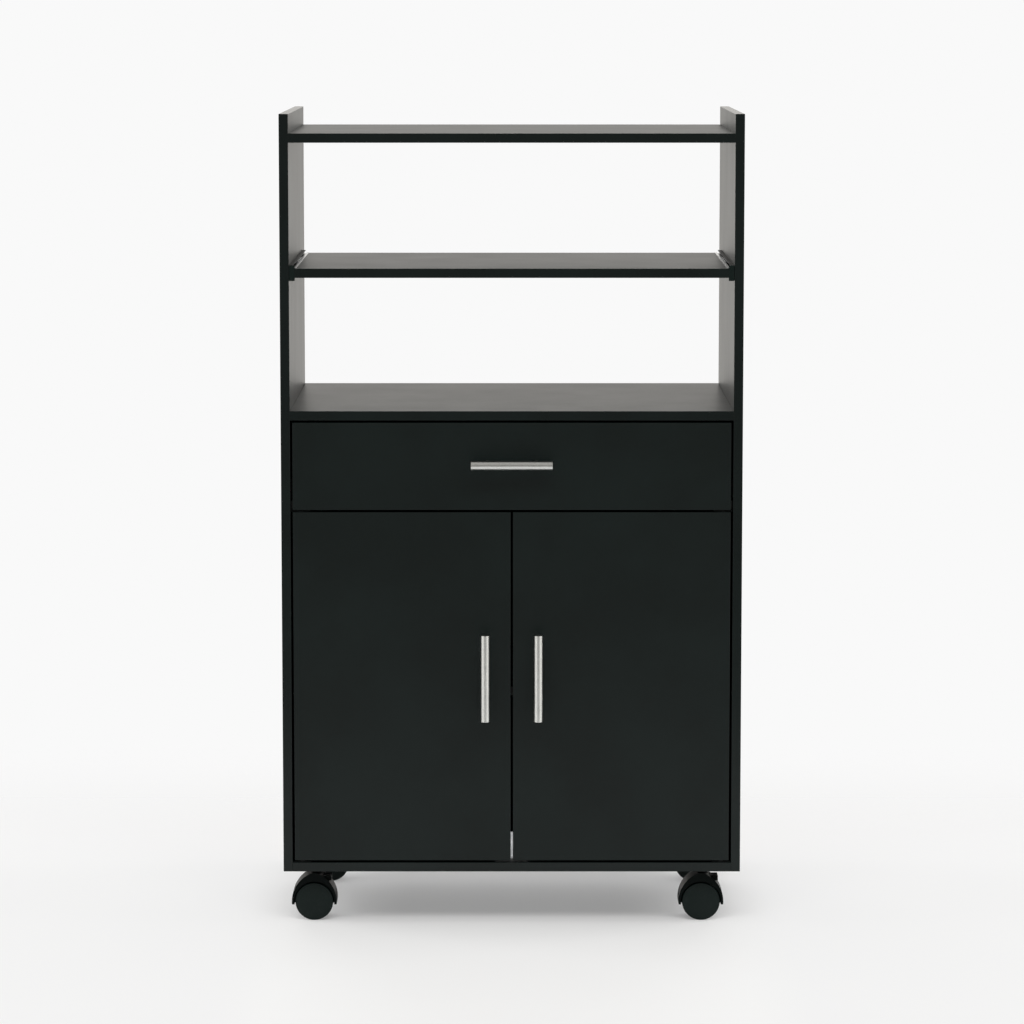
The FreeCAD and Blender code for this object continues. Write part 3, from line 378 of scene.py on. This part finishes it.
def dress_hardboard(node, printed_side):
    """Hardboard whose printed face looks along the given axis and sign."""
    mesh = clean_copy(node)
    round_edges(mesh, sharp_edges(mesh, 60.0), 0.2 * MM, 1)
    axis, sign = printed_side
    return to_piece(node + "_sheet", mesh, [hardboard, printed_board], body_of_node(node),
                    slot_of_node(node), [node],
                    lambda face: 1 if face.normal[axis] * sign > 0.9 else 0)


back_sheet = dress_hardboard("back_panel", (1, -1))
drawer_sheet = dress_hardboard("drawer_bottom", (2, 1))
print("hardboard:", back_sheet.name, drawer_sheet.name)

# %% [markdown]
# ## Metals
# Three metals show. The bar handles are satin nickel: brushed along the bar, so the scratches are a
# noise drawn out many times along the length. The moving slides, pins, strike plates and screws are
# zinc plated steel: bright and a little blue, with the soft clouds that plating leaves. The cam
# discs are cast zinc, dull and grainy. Fixed rails, runners, pivot brackets and caster plates are
# powder coated, which is black paint with the fine ripple of an orange's skin.

# %% Satin nickel, zinc plate, cast zinc and powder coat
def brushed_nickel(name, stretch):
    """Satin nickel whose brush marks run along one axis: the stretch is small along it."""
    def marks(graph, place):
        return graph.noise(graph.stretch(place, stretch), 1.0, 5.0, 0.7)

    def colour(graph, place):
        return graph.blend(graph.smooth(marks(graph, place), 0.3, 0.7), rgb(202, 204, 202),
                           rgb(226, 227, 225))

    def roughness(graph, place):
        return 0.2 + 0.16 * marks(graph, place)

    def relief(graph, place):
        return graph.bump(marks(graph, place), 0.00001, 0.7)
    return finish_material(name, colour, roughness, relief, Metallic=1.0)


nickel_across = brushed_nickel("satin_nickel_across", (60.0, 2600.0, 2600.0))
nickel_upright = brushed_nickel("satin_nickel_upright", (2600.0, 2600.0, 60.0))


def zinc_colour(graph, place):
    clouds = graph.noise(place, 70.0, 3.0, 0.6)
    return graph.blend(graph.smooth(clouds, 0.3, 0.72), rgb(214, 217, 220), rgb(236, 238, 240))


def zinc_roughness(graph, place):
    return 0.16 + 0.16 * graph.noise(place, 240.0, 4.0, 0.6)


zinc = finish_material("zinc_plated_steel", zinc_colour, zinc_roughness,
                       fine_relief(800.0, 0.00002), Metallic=1.0)


def cast_colour(graph, place):
    return graph.blend(graph.noise(place, 500.0, 3.0), rgb(128, 129, 131), rgb(172, 173, 175))


cast_zinc = finish_material("cast_zinc_grain", cast_colour, uneven(0.42, 0.2, 900.0),
                            fine_relief(1100.0, 0.00006), Metallic=1.0)


def paint_colour(graph, place):
    return graph.blend(graph.noise(place, 40.0, 3.0), rgb(9, 12, 12), rgb(15, 18, 18))


powder_coat = finish_material("black_powder_coat", paint_colour, uneven(0.36, 0.12, 300.0),
                              fine_relief(650.0, 0.00006, 2.0), Specular_IOR_Level=0.1)
print("metals:", nickel_across.name, zinc.name, cast_zinc.name, powder_coat.name)

# %% [markdown]
# ## Plastics and wood
# The casters are black nylon in two finishes. The hoods and brake levers are deep black with a low
# shine that only shows where light grazes them. The wheels are a shade lighter and colder, matte,
# with a little dust. The rollers of the drawer are white nylon. The dowels are plain beech, its
# grain drawn out along the dowel.

# %% Glossy and matte plastic, white nylon and beech
def gloss_colour(graph, place):
    return graph.blend(graph.noise(place, 30.0, 3.0), rgb(5, 11, 10), rgb(9, 15, 14))


gloss_plastic = finish_material("black_gloss_plastic", gloss_colour, uneven(0.36, 0.1, 120.0),
                                fine_relief(260.0, 0.00002, 2.0, 0.7), Specular_IOR_Level=0.06)


def tread_colour(graph, place):
    dust = graph.smooth(graph.noise(place, 160.0, 5.0, 0.65), 0.5, 0.8)
    return graph.blend(dust * 0.25, rgb(6, 20, 18), rgb(40, 45, 44))


matte_plastic = finish_material("black_matte_nylon", tread_colour, uneven(0.36, 0.16, 200.0),
                                fine_relief(1200.0, 0.00005), Specular_IOR_Level=0.22)


def nylon_colour(graph, place):
    return graph.blend(graph.noise(place, 90.0, 3.0), rgb(222, 220, 212), rgb(238, 236, 229))


white_nylon = finish_material("white_moulded_nylon", nylon_colour, uneven(0.4, 0.15, 400.0),
                              fine_relief(900.0, 0.00003, 2.0, 0.7),
                              Subsurface_Weight=0.2, Subsurface_Scale=0.002)


def beech_colour(graph, place):
    grain = graph.noise(graph.stretch(place, (90.0, 1400.0, 1400.0)), 1.0, 4.0, 0.6)
    return graph.blend(graph.smooth(grain, 0.35, 0.65), rgb(190, 148, 104), rgb(214, 176, 132))


beech = finish_material("beech_dowel", beech_colour, uneven(0.6, 0.1, 600.0),
                        fine_relief(1500.0, 0.00004))
print("plastics:", gloss_plastic.name, matte_plastic.name, white_nylon.name)

# %% [markdown]
# ## Bar handles
# Each handle is a round bar, cut square and lightly chamfered, on two round posts. A cylinder could
# stand in for it, but its end would be sharp and its post would meet the bar in a hard line. A
# lathe profile gives the chamfer, and each post widens onto the bar in a small fillet.

# %% A lathe for any axis
def frame_along(axis):
    """Two directions square to the axis."""
    axis = axis.normalized()
    side = axis.orthogonal().normalized()
    return side, axis.cross(side)


def lathe(mesh, profile, start, axis, segments=48, index=0):
    """Turn (along, radius) points round an axis into the mesh; a radius of 0 closes an end."""
    side, up = frame_along(axis)
    axis = axis.normalized()
    rings = []
    for along, radius in profile:
        centre = start + axis * along
        if radius == 0:
            rings.append([mesh.verts.new(centre)])
            continue
        rings.append([mesh.verts.new(centre + radius * (side * math.cos(turn) + up *
                                                        math.sin(turn)))
                      for turn in (2 * math.pi * step / segments for step in range(segments))])
    faces = []
    for first, second in zip(rings, rings[1:]):
        for step in range(segments):
            after = (step + 1) % segments
            if len(first) == 1:
                faces.append(mesh.faces.new((first[0], second[step], second[after])))
            elif len(second) == 1:
                faces.append(mesh.faces.new((first[step], second[0], first[after])))
            else:
                faces.append(mesh.faces.new((first[step], second[step], second[after],
                                             first[after])))
    for face in faces:
        face.material_index = index
    return faces


# %% Handles
POST_RADIUS = 4 * MM
POST_HALF = 32 * MM
CHAMFER = 0.6 * MM


def bar_handle(node, along, material):
    """A chamfered bar along x or z, with its two posts back to the front plane."""
    low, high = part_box(node)
    centre = (low + high) / 2
    length = high[along] - low[along]
    radius = (high[2 - along] - low[2 - along]) / 2
    axis = Vector([float(step == along) for step in range(3)])
    middle = Vector((centre.x, low.y + radius, centre.z))
    mesh = bmesh.new()
    lathe(mesh, [(0, 0), (0, radius - CHAMFER), (CHAMFER * 0.4, radius - CHAMFER * 0.2),
                 (CHAMFER, radius), (length - CHAMFER, radius),
                 (length - CHAMFER * 0.4, radius - CHAMFER * 0.2),
                 (length, radius - CHAMFER), (length, 0)], middle - axis * length / 2, axis, 72)
    reach = front_y - middle.y
    for side in (-1, 1):
        foot = middle + axis * side * POST_HALF
        lathe(mesh, [(3.2 * MM, POST_RADIUS + 1.2 * MM), (4.4 * MM, POST_RADIUS + 0.5 * MM),
                     (5.6 * MM, POST_RADIUS + 0.1 * MM), (6.6 * MM, POST_RADIUS),
                     (reach, POST_RADIUS), (reach, 0)], foot, Vector((0, 1, 0)), 40)
    return to_piece(node + "_bar", mesh, [material], body_of_node(node), slot_of_node(node),
                    [node], smooth=30.0)


handles = [bar_handle("drawer_handle", 0, nickel_across),
           bar_handle("door_handle_left", 2, nickel_upright),
           bar_handle("door_handle_right", 2, nickel_upright)]
print("handles:", [handle.name for handle in handles])

# %% [markdown]
# ## Screws, nails, pins and cam discs
# Dozens of small fasteners sit on the same few axes as their solids. Rather than placing each by
# hand, the script splits a node into its separate solids and reads each one's box: a turned solid
# is equally wide both ways across its axis, and the wider end is the head. On that it turns a new
# head with a crowned face and sinks a cross recess into it, because an empty disc does not read
# as a screw.

# %% Separate solids of a node
def islands(node):
    """Each separate solid of a node as a list of its points."""
    mesh = bmesh.new()
    mesh.from_mesh(frame["nodes"][node].data)
    bmesh.ops.remove_doubles(mesh, verts=mesh.verts, dist=1e-6)
    mesh.verts.ensure_lookup_table()
    seen, found = set(), []
    for seed in mesh.verts:
        if seed.index in seen:
            continue
        group, queue = [], [seed]
        seen.add(seed.index)
        while queue:
            vert = queue.pop()
            group.append(vert.co.copy())
            for edge in vert.link_edges:
                other = edge.other_vert(vert)
                if other.index not in seen:
                    seen.add(other.index)
                    queue.append(other)
        found.append(group)
    mesh.free()
    return found


def turned_place(points):
    """Foot, axis towards the head, length and head radius of a turned solid."""
    low = Vector([min(point[axis] for point in points) for axis in range(3)])
    high = Vector([max(point[axis] for point in points) for axis in range(3)])
    size, centre = high - low, (low + high) / 2
    spans = sorted(range(3), key=lambda axis: abs(size[(axis + 1) % 3] - size[(axis + 2) % 3]))
    along = spans[0]
    across = [axis for axis in range(3) if axis != along]

    def width_at(level):
        return max(math.hypot(*(point[axis] - centre[axis] for axis in across))
                   for point in points if abs(point[along] - level) < 0.02 * MM)
    sign = 1 if width_at(high[along]) >= width_at(low[along]) else -1
    axis = Vector([float(step == along) * sign for step in range(3)])
    foot = centre - axis * size[along] / 2
    return foot, axis, size[along], max(size[across[0]], size[across[1]]) / 2


def cross_recess(mesh, centre, axis, rim, arm, width, depth, segments, index=0):
    """The head's flat top: a ring of faces round a cross that sinks into it."""
    side, up = frame_along(axis)

    def at(across, along, sunk=0.0):
        return mesh.verts.new(centre + side * across + up * along - axis.normalized() * sunk)
    ring = [at(rim * math.cos(2 * math.pi * step / segments), rim *
               math.sin(2 * math.pi * step / segments)) for step in range(segments)]
    corners = [(arm, -width), (arm, width), (width, width), (width, arm), (-width, arm),
               (-width, width), (-arm, width), (-arm, -width), (-width, -width),
               (-width, -arm), (width, -arm), (width, -width)]
    top = [at(*corner) for corner in corners]
    floor = [at(across * 0.6, along * 0.6, depth) for across, along in corners]
    edges = [mesh.edges.new((loop[step], loop[(step + 1) % len(loop)]))
             for loop in (ring, top) for step in range(len(loop))]
    made = bmesh.ops.triangle_fill(mesh, use_beauty=True, use_dissolve=False, edges=edges)
    faces = [face for face in made["geom"] if isinstance(face, bmesh.types.BMFace)]
    for step in range(12):
        after = (step + 1) % 12
        faces.append(mesh.faces.new((top[step], top[after], floor[after], floor[step])))
    faces.append(mesh.faces.new(floor))
    for face in faces:
        face.material_index = index


# %% Turn the fasteners
def screw_solid(mesh, foot, axis, length, head_radius, head_height, shank_radius):
    """A screw with a crowned head, its cross and a pointed shank."""
    neck = length - head_height
    crown = head_radius * 0.62
    lathe(mesh, [(0, 0), (1.2 * MM, shank_radius), (neck, shank_radius), (neck, head_radius),
                 (neck + head_height * 0.45, head_radius), (neck + head_height * 0.8,
                                                            head_radius * 0.86),
                 (length, crown)], foot, axis, 24)
    cross_recess(mesh, foot + axis * length, axis, crown, crown * 0.82, crown * 0.2,
                 head_height * 0.75, 24)


def turned_node(node, name, materials, build):
    """Rebuild every solid of a node with one builder."""
    mesh = bmesh.new()
    solids = islands(node)
    for points in solids:
        build(mesh, *turned_place(points))
    bmesh.ops.remove_doubles(mesh, verts=mesh.verts, dist=1e-7)
    to_piece(name, mesh, materials, body_of_node(node), slot_of_node(node), [node])
    return len(solids)


def wood_screw(mesh, foot, axis, length, radius):
    screw_solid(mesh, foot, axis, length, radius, 1.0 * MM, 1.6 * MM)


def any_screw(mesh, foot, axis, length, radius):
    """Machine screws are the ones with a wider head than the wood screws."""
    if radius > 3.5 * MM:
        screw_solid(mesh, foot, axis, length, radius, 2.2 * MM, 2.0 * MM)
    else:
        wood_screw(mesh, foot, axis, length, radius)


def nail(mesh, foot, axis, length, radius):
    lathe(mesh, [(0, 0), (1.6 * MM, 0.8 * MM), (length - 0.6 * MM, 0.8 * MM),
                 (length - 0.6 * MM, radius), (length - 0.25 * MM, radius),
                 (length, radius * 0.7), (length, 0)], foot, axis, 20)


def cam_disc(mesh, foot, axis, length, radius):
    rim = radius - 0.5 * MM
    lathe(mesh, [(0, 0), (0, radius), (length - 0.4 * MM, radius), (length, rim)], foot, axis, 40)
    cross_recess(mesh, foot + axis * length, axis, rim, rim * 0.62, rim * 0.16, 2.6 * MM, 40)


screw_count = sum(turned_node(node, node + "_set", [zinc], any_screw)
                  for node in ("fitting_screws", "shelf_slide_screws", "drawer_screws",
                               "door_screws_left", "door_screws_right"))
nail_count = turned_node("back_nails", "back_nails_set", [zinc], nail)
print("screws:", screw_count, "nails:", nail_count)
cam_count = turned_node("cam_locks", "cam_discs", [cast_zinc], cam_disc)
print("cam discs:", cam_count)

# %% [markdown]
# ## Pressed and moulded parts
# Slides, rails, brackets, catch and caps keep the shape of their solids, so each is a copy with a
# small radius on its sharp edges: about 0.15 mm on sheet steel, where a press leaves it, and 0.5 mm
# or more on moulded plastic. The few pieces that are buried in the boards keep their solids as they
# are and only take a finish, because no view reaches their edges.

# %% Soften a solid, or only paint it
def soften(node, radius, material, segments=2, angle=30.0):
    mesh = clean_copy(node)
    round_edges(mesh, sharp_edges(mesh, angle), radius, segments)
    return to_piece(node + "_part", mesh, [material], body_of_node(node), slot_of_node(node),
                    [node])


def paint(node, material):
    """A node of the frame that stays, with a finish in its own material slots."""
    for holder in frame["nodes"][node].material_slots:
        holder.link = "OBJECT"
        holder.material = material


for node in ("shelf_slide_left", "shelf_slide_right", "magnetic_catch", "strike_plate_left",
             "strike_plate_right", "shelf_pins"):
    soften(node, 0.15 * MM, zinc)
for node in ("shelf_rail_left", "shelf_rail_right", "drawer_rail_left", "drawer_rail_right",
             "drawer_runner_left", "drawer_runner_right", "pivot_brackets", "caster_plates"):
    soften(node, 0.15 * MM, powder_coat)
for node in ("front_rollers", "rear_rollers"):
    soften(node, 0.5 * MM, white_nylon)
soften("slide_end_caps", 0.6 * MM, matte_plastic, 3)
for node, material in [("ball_cages", zinc), ("cam_bolts", zinc), ("drawer_dowels", beech)]:
    paint(node, material)
print("softened and painted parts done")

# %% [markdown]
# ## Casters
# A twin-wheel caster is two nylon discs on one axle with a moulded hood over them. The hood's edges
# are wide and soft, because they carry the grey glints near the floor. The wheels are turned
# afresh: a lathe profile gives the rounded tread, the fine groove in its middle and the plain,
# slightly domed face with a narrow step at its rim.

# %% Twin wheels and hoods
CORNERS = ("front_left", "front_right", "back_left", "back_right")


def wheel(mesh, foot, axis, width, radius):
    """One disc, from the face beside the housing to the crown of the domed outer face."""
    lathe(mesh, [(0.4 * MM, 0), (0.4 * MM, 9 * MM), (0.9 * MM, 10 * MM), (0.9 * MM, 19 * MM),
                 (0, 20.5 * MM), (0, radius - 1.6 * MM), (0.3 * MM, radius - 0.8 * MM),
                 (0.9 * MM, radius - 0.25 * MM), (1.8 * MM, radius),
                 (width / 2 - 0.5 * MM, radius), (width / 2 - 0.25 * MM, radius - 0.2 * MM),
                 (width / 2 + 0.25 * MM, radius - 0.2 * MM), (width / 2 + 0.5 * MM, radius),
                 (width - 2.4 * MM, radius), (width - 1.3 * MM, radius - 0.35 * MM),
                 (width - 0.95 * MM, radius - 0.7 * MM), (width - 0.9 * MM, radius - 1.5 * MM),
                 (width - 1.25 * MM, radius - 1.9 * MM), (width - 1.2 * MM, radius - 2.4 * MM),
                 (width - 0.8 * MM, radius - 4.0 * MM), (width - 0.45 * MM, radius - 8.0 * MM),
                 (width - 0.2 * MM, radius - 13.0 * MM), (width - 0.05 * MM, radius - 19.0 * MM),
                 (width, 0)], foot, axis, 96)


def twin_wheels(corner):
    node = "caster_wheels_" + corner
    low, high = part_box(node)
    middle = (low.y + high.y) / 2
    mesh = bmesh.new()
    for points in islands(node):
        foot, axis, width, radius = turned_place(points)
        centre = foot + axis * width / 2
        outward = Vector((0, 1 if centre.y > middle else -1, 0))
        wheel(mesh, centre - outward * width / 2, outward, width, radius)
    return to_piece(node + "_pair", mesh, [matte_plastic], body_of_node(node),
                    slot_of_node(node), [node], smooth=32.0)


for corner in CORNERS:
    twin_wheels(corner)
    soften("caster_housing_" + corner, 0.7 * MM, gloss_plastic, 3)
    paint("caster_axle_" + corner, zinc)
for corner in CORNERS[:2]:
    soften("brake_lever_" + corner, 0.6 * MM, gloss_plastic, 3)
print("casters:", CORNERS)

# %% [markdown]
# ## Floor, light and camera
# The stand is on a pale seamless floor. The floor is a flat sheet that fades into the white
# surroundings on every side, so there is no horizon line. Behind the stand its colour is painted
# darker, as painted shade. To the camera only, it carries a painted glow: a weak one that lifts the
# shadow under the stand, and a stronger one beside the stand, so that the shadow stays under the
# stand. The surroundings look evenly white. In reflections they are darker overhead and have a
# dark patch straight in front: that keeps the black fronts deep, while the tops of the boards, seen
# at a low angle, mirror the white behind them and turn grey. Four wide soft lamps give the light:
# one high in front, one low behind that reaches the floor under the stand, and one on each side.
# None shows as a shape in reflections.

# %% Floor
FADE_BEHIND = (0.35, 1.15)
FADE_ROUND = (1.1, 2.1)
SHADOW_EDGE = (0.27, 0.37)
# Shares of the painted glow that only the camera sees on the floor: under the stand it lifts the
# shadow a little, beside the stand it lifts the floor over the shadow.
GLOW_UNDER_STAND, GLOW_BESIDE_STAND = 0.3, 0.75


def studio_floor():
    material = bpy.data.materials.new("pale_floor")
    material.use_nodes = True
    graph = Graph(material.node_tree)
    place = graph.add("ShaderNodeTexCoord", out="Object")
    cloud = graph.noise(place, 0.8, 3.0)
    spot = graph.make("ShaderNodeSeparateXYZ", {}, {0: place})
    aside = graph.add("ShaderNodeMath", {"operation": "ABSOLUTE"},
                      {0: Value(graph, spot.outputs["X"])})
    behind = Value(graph, spot.outputs["Y"])
    unshaded_floor = graph.blend(cloud, rgb(240, 240, 240), rgb(244, 244, 244))
    # Behind the stand the floor's colour turns darker: this is painted shade on the floor, not a
    # colour of its own.
    tone = graph.blend(graph.smooth(behind, 0.15, 0.8), unshaded_floor, rgb(226, 226, 226))
    matte = graph.add("ShaderNodeBsdfDiffuse", {}, {"Color": tone})
    # Painted light: an emission seen only by the camera lifts the floor and its shadow, weakly
    # under the stand and strongly beside it.
    painted_glow = graph.add("ShaderNodeEmission", {}, {"Color": rgb(241, 241, 241), "Strength": 1.0})
    seen = graph.add("ShaderNodeLightPath", out="Is Camera Ray")
    painted_lift = GLOW_UNDER_STAND + (GLOW_BESIDE_STAND - GLOW_UNDER_STAND) * graph.smooth(aside, *SHADOW_EDGE)
    lit = graph.add("ShaderNodeMixShader", {}, {0: painted_lift * seen, 1: matte, 2: painted_glow})
    away = graph.add("ShaderNodeVectorMath", {"operation": "LENGTH"}, {0: place}, out="Value")
    kept = (1.0 - graph.smooth(behind, *FADE_BEHIND)) * (1.0 - graph.smooth(away, *FADE_ROUND))
    clear = graph.add("ShaderNodeBsdfTransparent")
    surface = graph.add("ShaderNodeMixShader", {}, {0: kept, 1: clear, 2: lit})
    graph.make("ShaderNodeOutputMaterial", {}, {"Surface": surface})
    mesh = bmesh.new()
    bmesh.ops.create_grid(mesh, x_segments=8, y_segments=8, size=6.0)
    data = bpy.data.meshes.new("floor_sheet")
    mesh.to_mesh(data)
    mesh.free()
    data.materials.append(material)
    floor = bpy.data.objects.new("floor_sheet", data)
    bpy.context.scene.collection.objects.link(floor)
    return floor


floor = studio_floor()
print("floor:", floor.name)

# %% Surroundings
DARK_PATCH = 0.68
OVERHEAD_DIMMING = 0.5
FILL_LIGHT = 0.36


def surroundings():
    world = bpy.data.worlds.new("white_studio")
    world.use_nodes = True
    bpy.context.scene.world = world
    graph = Graph(world.node_tree)
    direction = graph.add("ShaderNodeTexCoord", out="Generated")
    ahead = graph.add("ShaderNodeSeparateXYZ", {}, {0: direction}, out="Y")
    above = graph.add("ShaderNodeSeparateXYZ", {}, {0: direction}, out="Z")
    dark_spot = 1.0 - graph.smooth(ahead, -0.94, -0.74)
    rising = graph.smooth(above, -0.06, 0.1)
    path = graph.make("ShaderNodeLightPath")
    seen = Value(graph, path.outputs["Is Camera Ray"])
    glossy = Value(graph, path.outputs["Is Glossy Ray"]) + Value(
        graph, path.outputs["Is Transmission Ray"])
    overhead = graph.smooth(above, 0.25, 0.8)
    mirrored = ((1.0 - DARK_PATCH * dark_spot) * (1.12 - 0.14 * rising)
                * (1.0 - OVERHEAD_DIMMING * overhead))
    strength = seen + (1.0 - seen) * (glossy * mirrored + (1.0 - glossy) * FILL_LIGHT)
    tint = graph.blend(seen, rgb(251, 248, 243), rgb(249, 249, 249))
    light = graph.add("ShaderNodeBackground", {}, {"Color": tint, "Strength": strength})
    graph.make("ShaderNodeOutputWorld", {}, {"Surface": light})


surroundings()
print("world:", bpy.context.scene.world.name)

# %% Lamps
def soft_lamp(name, place, target, width, height, power):
    """A wide lamp at a place, turned to a target; mirrors do not show it."""
    data = bpy.data.lights.new(name, "AREA")
    data.shape = "RECTANGLE"
    data.size, data.size_y = width, height
    data.energy = power
    lamp = bpy.data.objects.new(name, data)
    bpy.context.scene.collection.objects.link(lamp)
    lamp.visible_glossy = False
    lamp.location = place
    lamp.rotation_euler = (Vector(target) - Vector(place)).to_track_quat("-Z", "Y").to_euler()
    return lamp


soft_lamp("front_lamp", (0.0, -3.6, 4.6), (0.0, 0.0, 0.2), 5.0, 2.0, 148.0)
soft_lamp("back_lamp", (0.0, 2.6, 0.9), (0.0, 0.0, 0.05), 3.4, 0.8, 66.0)
soft_lamp("left_lamp", (-3.4, 0.2, 2.2), (0.0, 0.0, 0.0), 2.4, 1.4, 54.0)
soft_lamp("right_lamp", (3.4, 0.2, 2.2), (0.0, 0.0, 0.0), 2.4, 1.4, 54.0)
print("lamps ready")

# %% Camera
SENSOR_WIDTH = 36.0
FOCAL_PIXELS = 4112.0
PICTURE_PIXELS = 1024.0
CAMERA_DISTANCE = 5.309
CAMERA_HEIGHT = 1.202
CAMERA_PITCH = 7.04
camera_data = bpy.data.cameras.new("studio_camera")
camera_data.sensor_width = SENSOR_WIDTH
camera_data.lens = FOCAL_PIXELS / PICTURE_PIXELS * SENSOR_WIDTH
camera_data.clip_end = 60.0
camera = bpy.data.objects.new("studio_camera", camera_data)
bpy.context.scene.collection.objects.link(camera)
camera.location = (0.0003, front_y - CAMERA_DISTANCE, CAMERA_HEIGHT)
camera.rotation_euler = (math.radians(90.0 - CAMERA_PITCH), 0.0, 0.0)
bpy.context.scene.camera = camera
bpy.context.scene.view_settings.view_transform = "Standard"
print("camera lens:", round(camera_data.lens, 1))
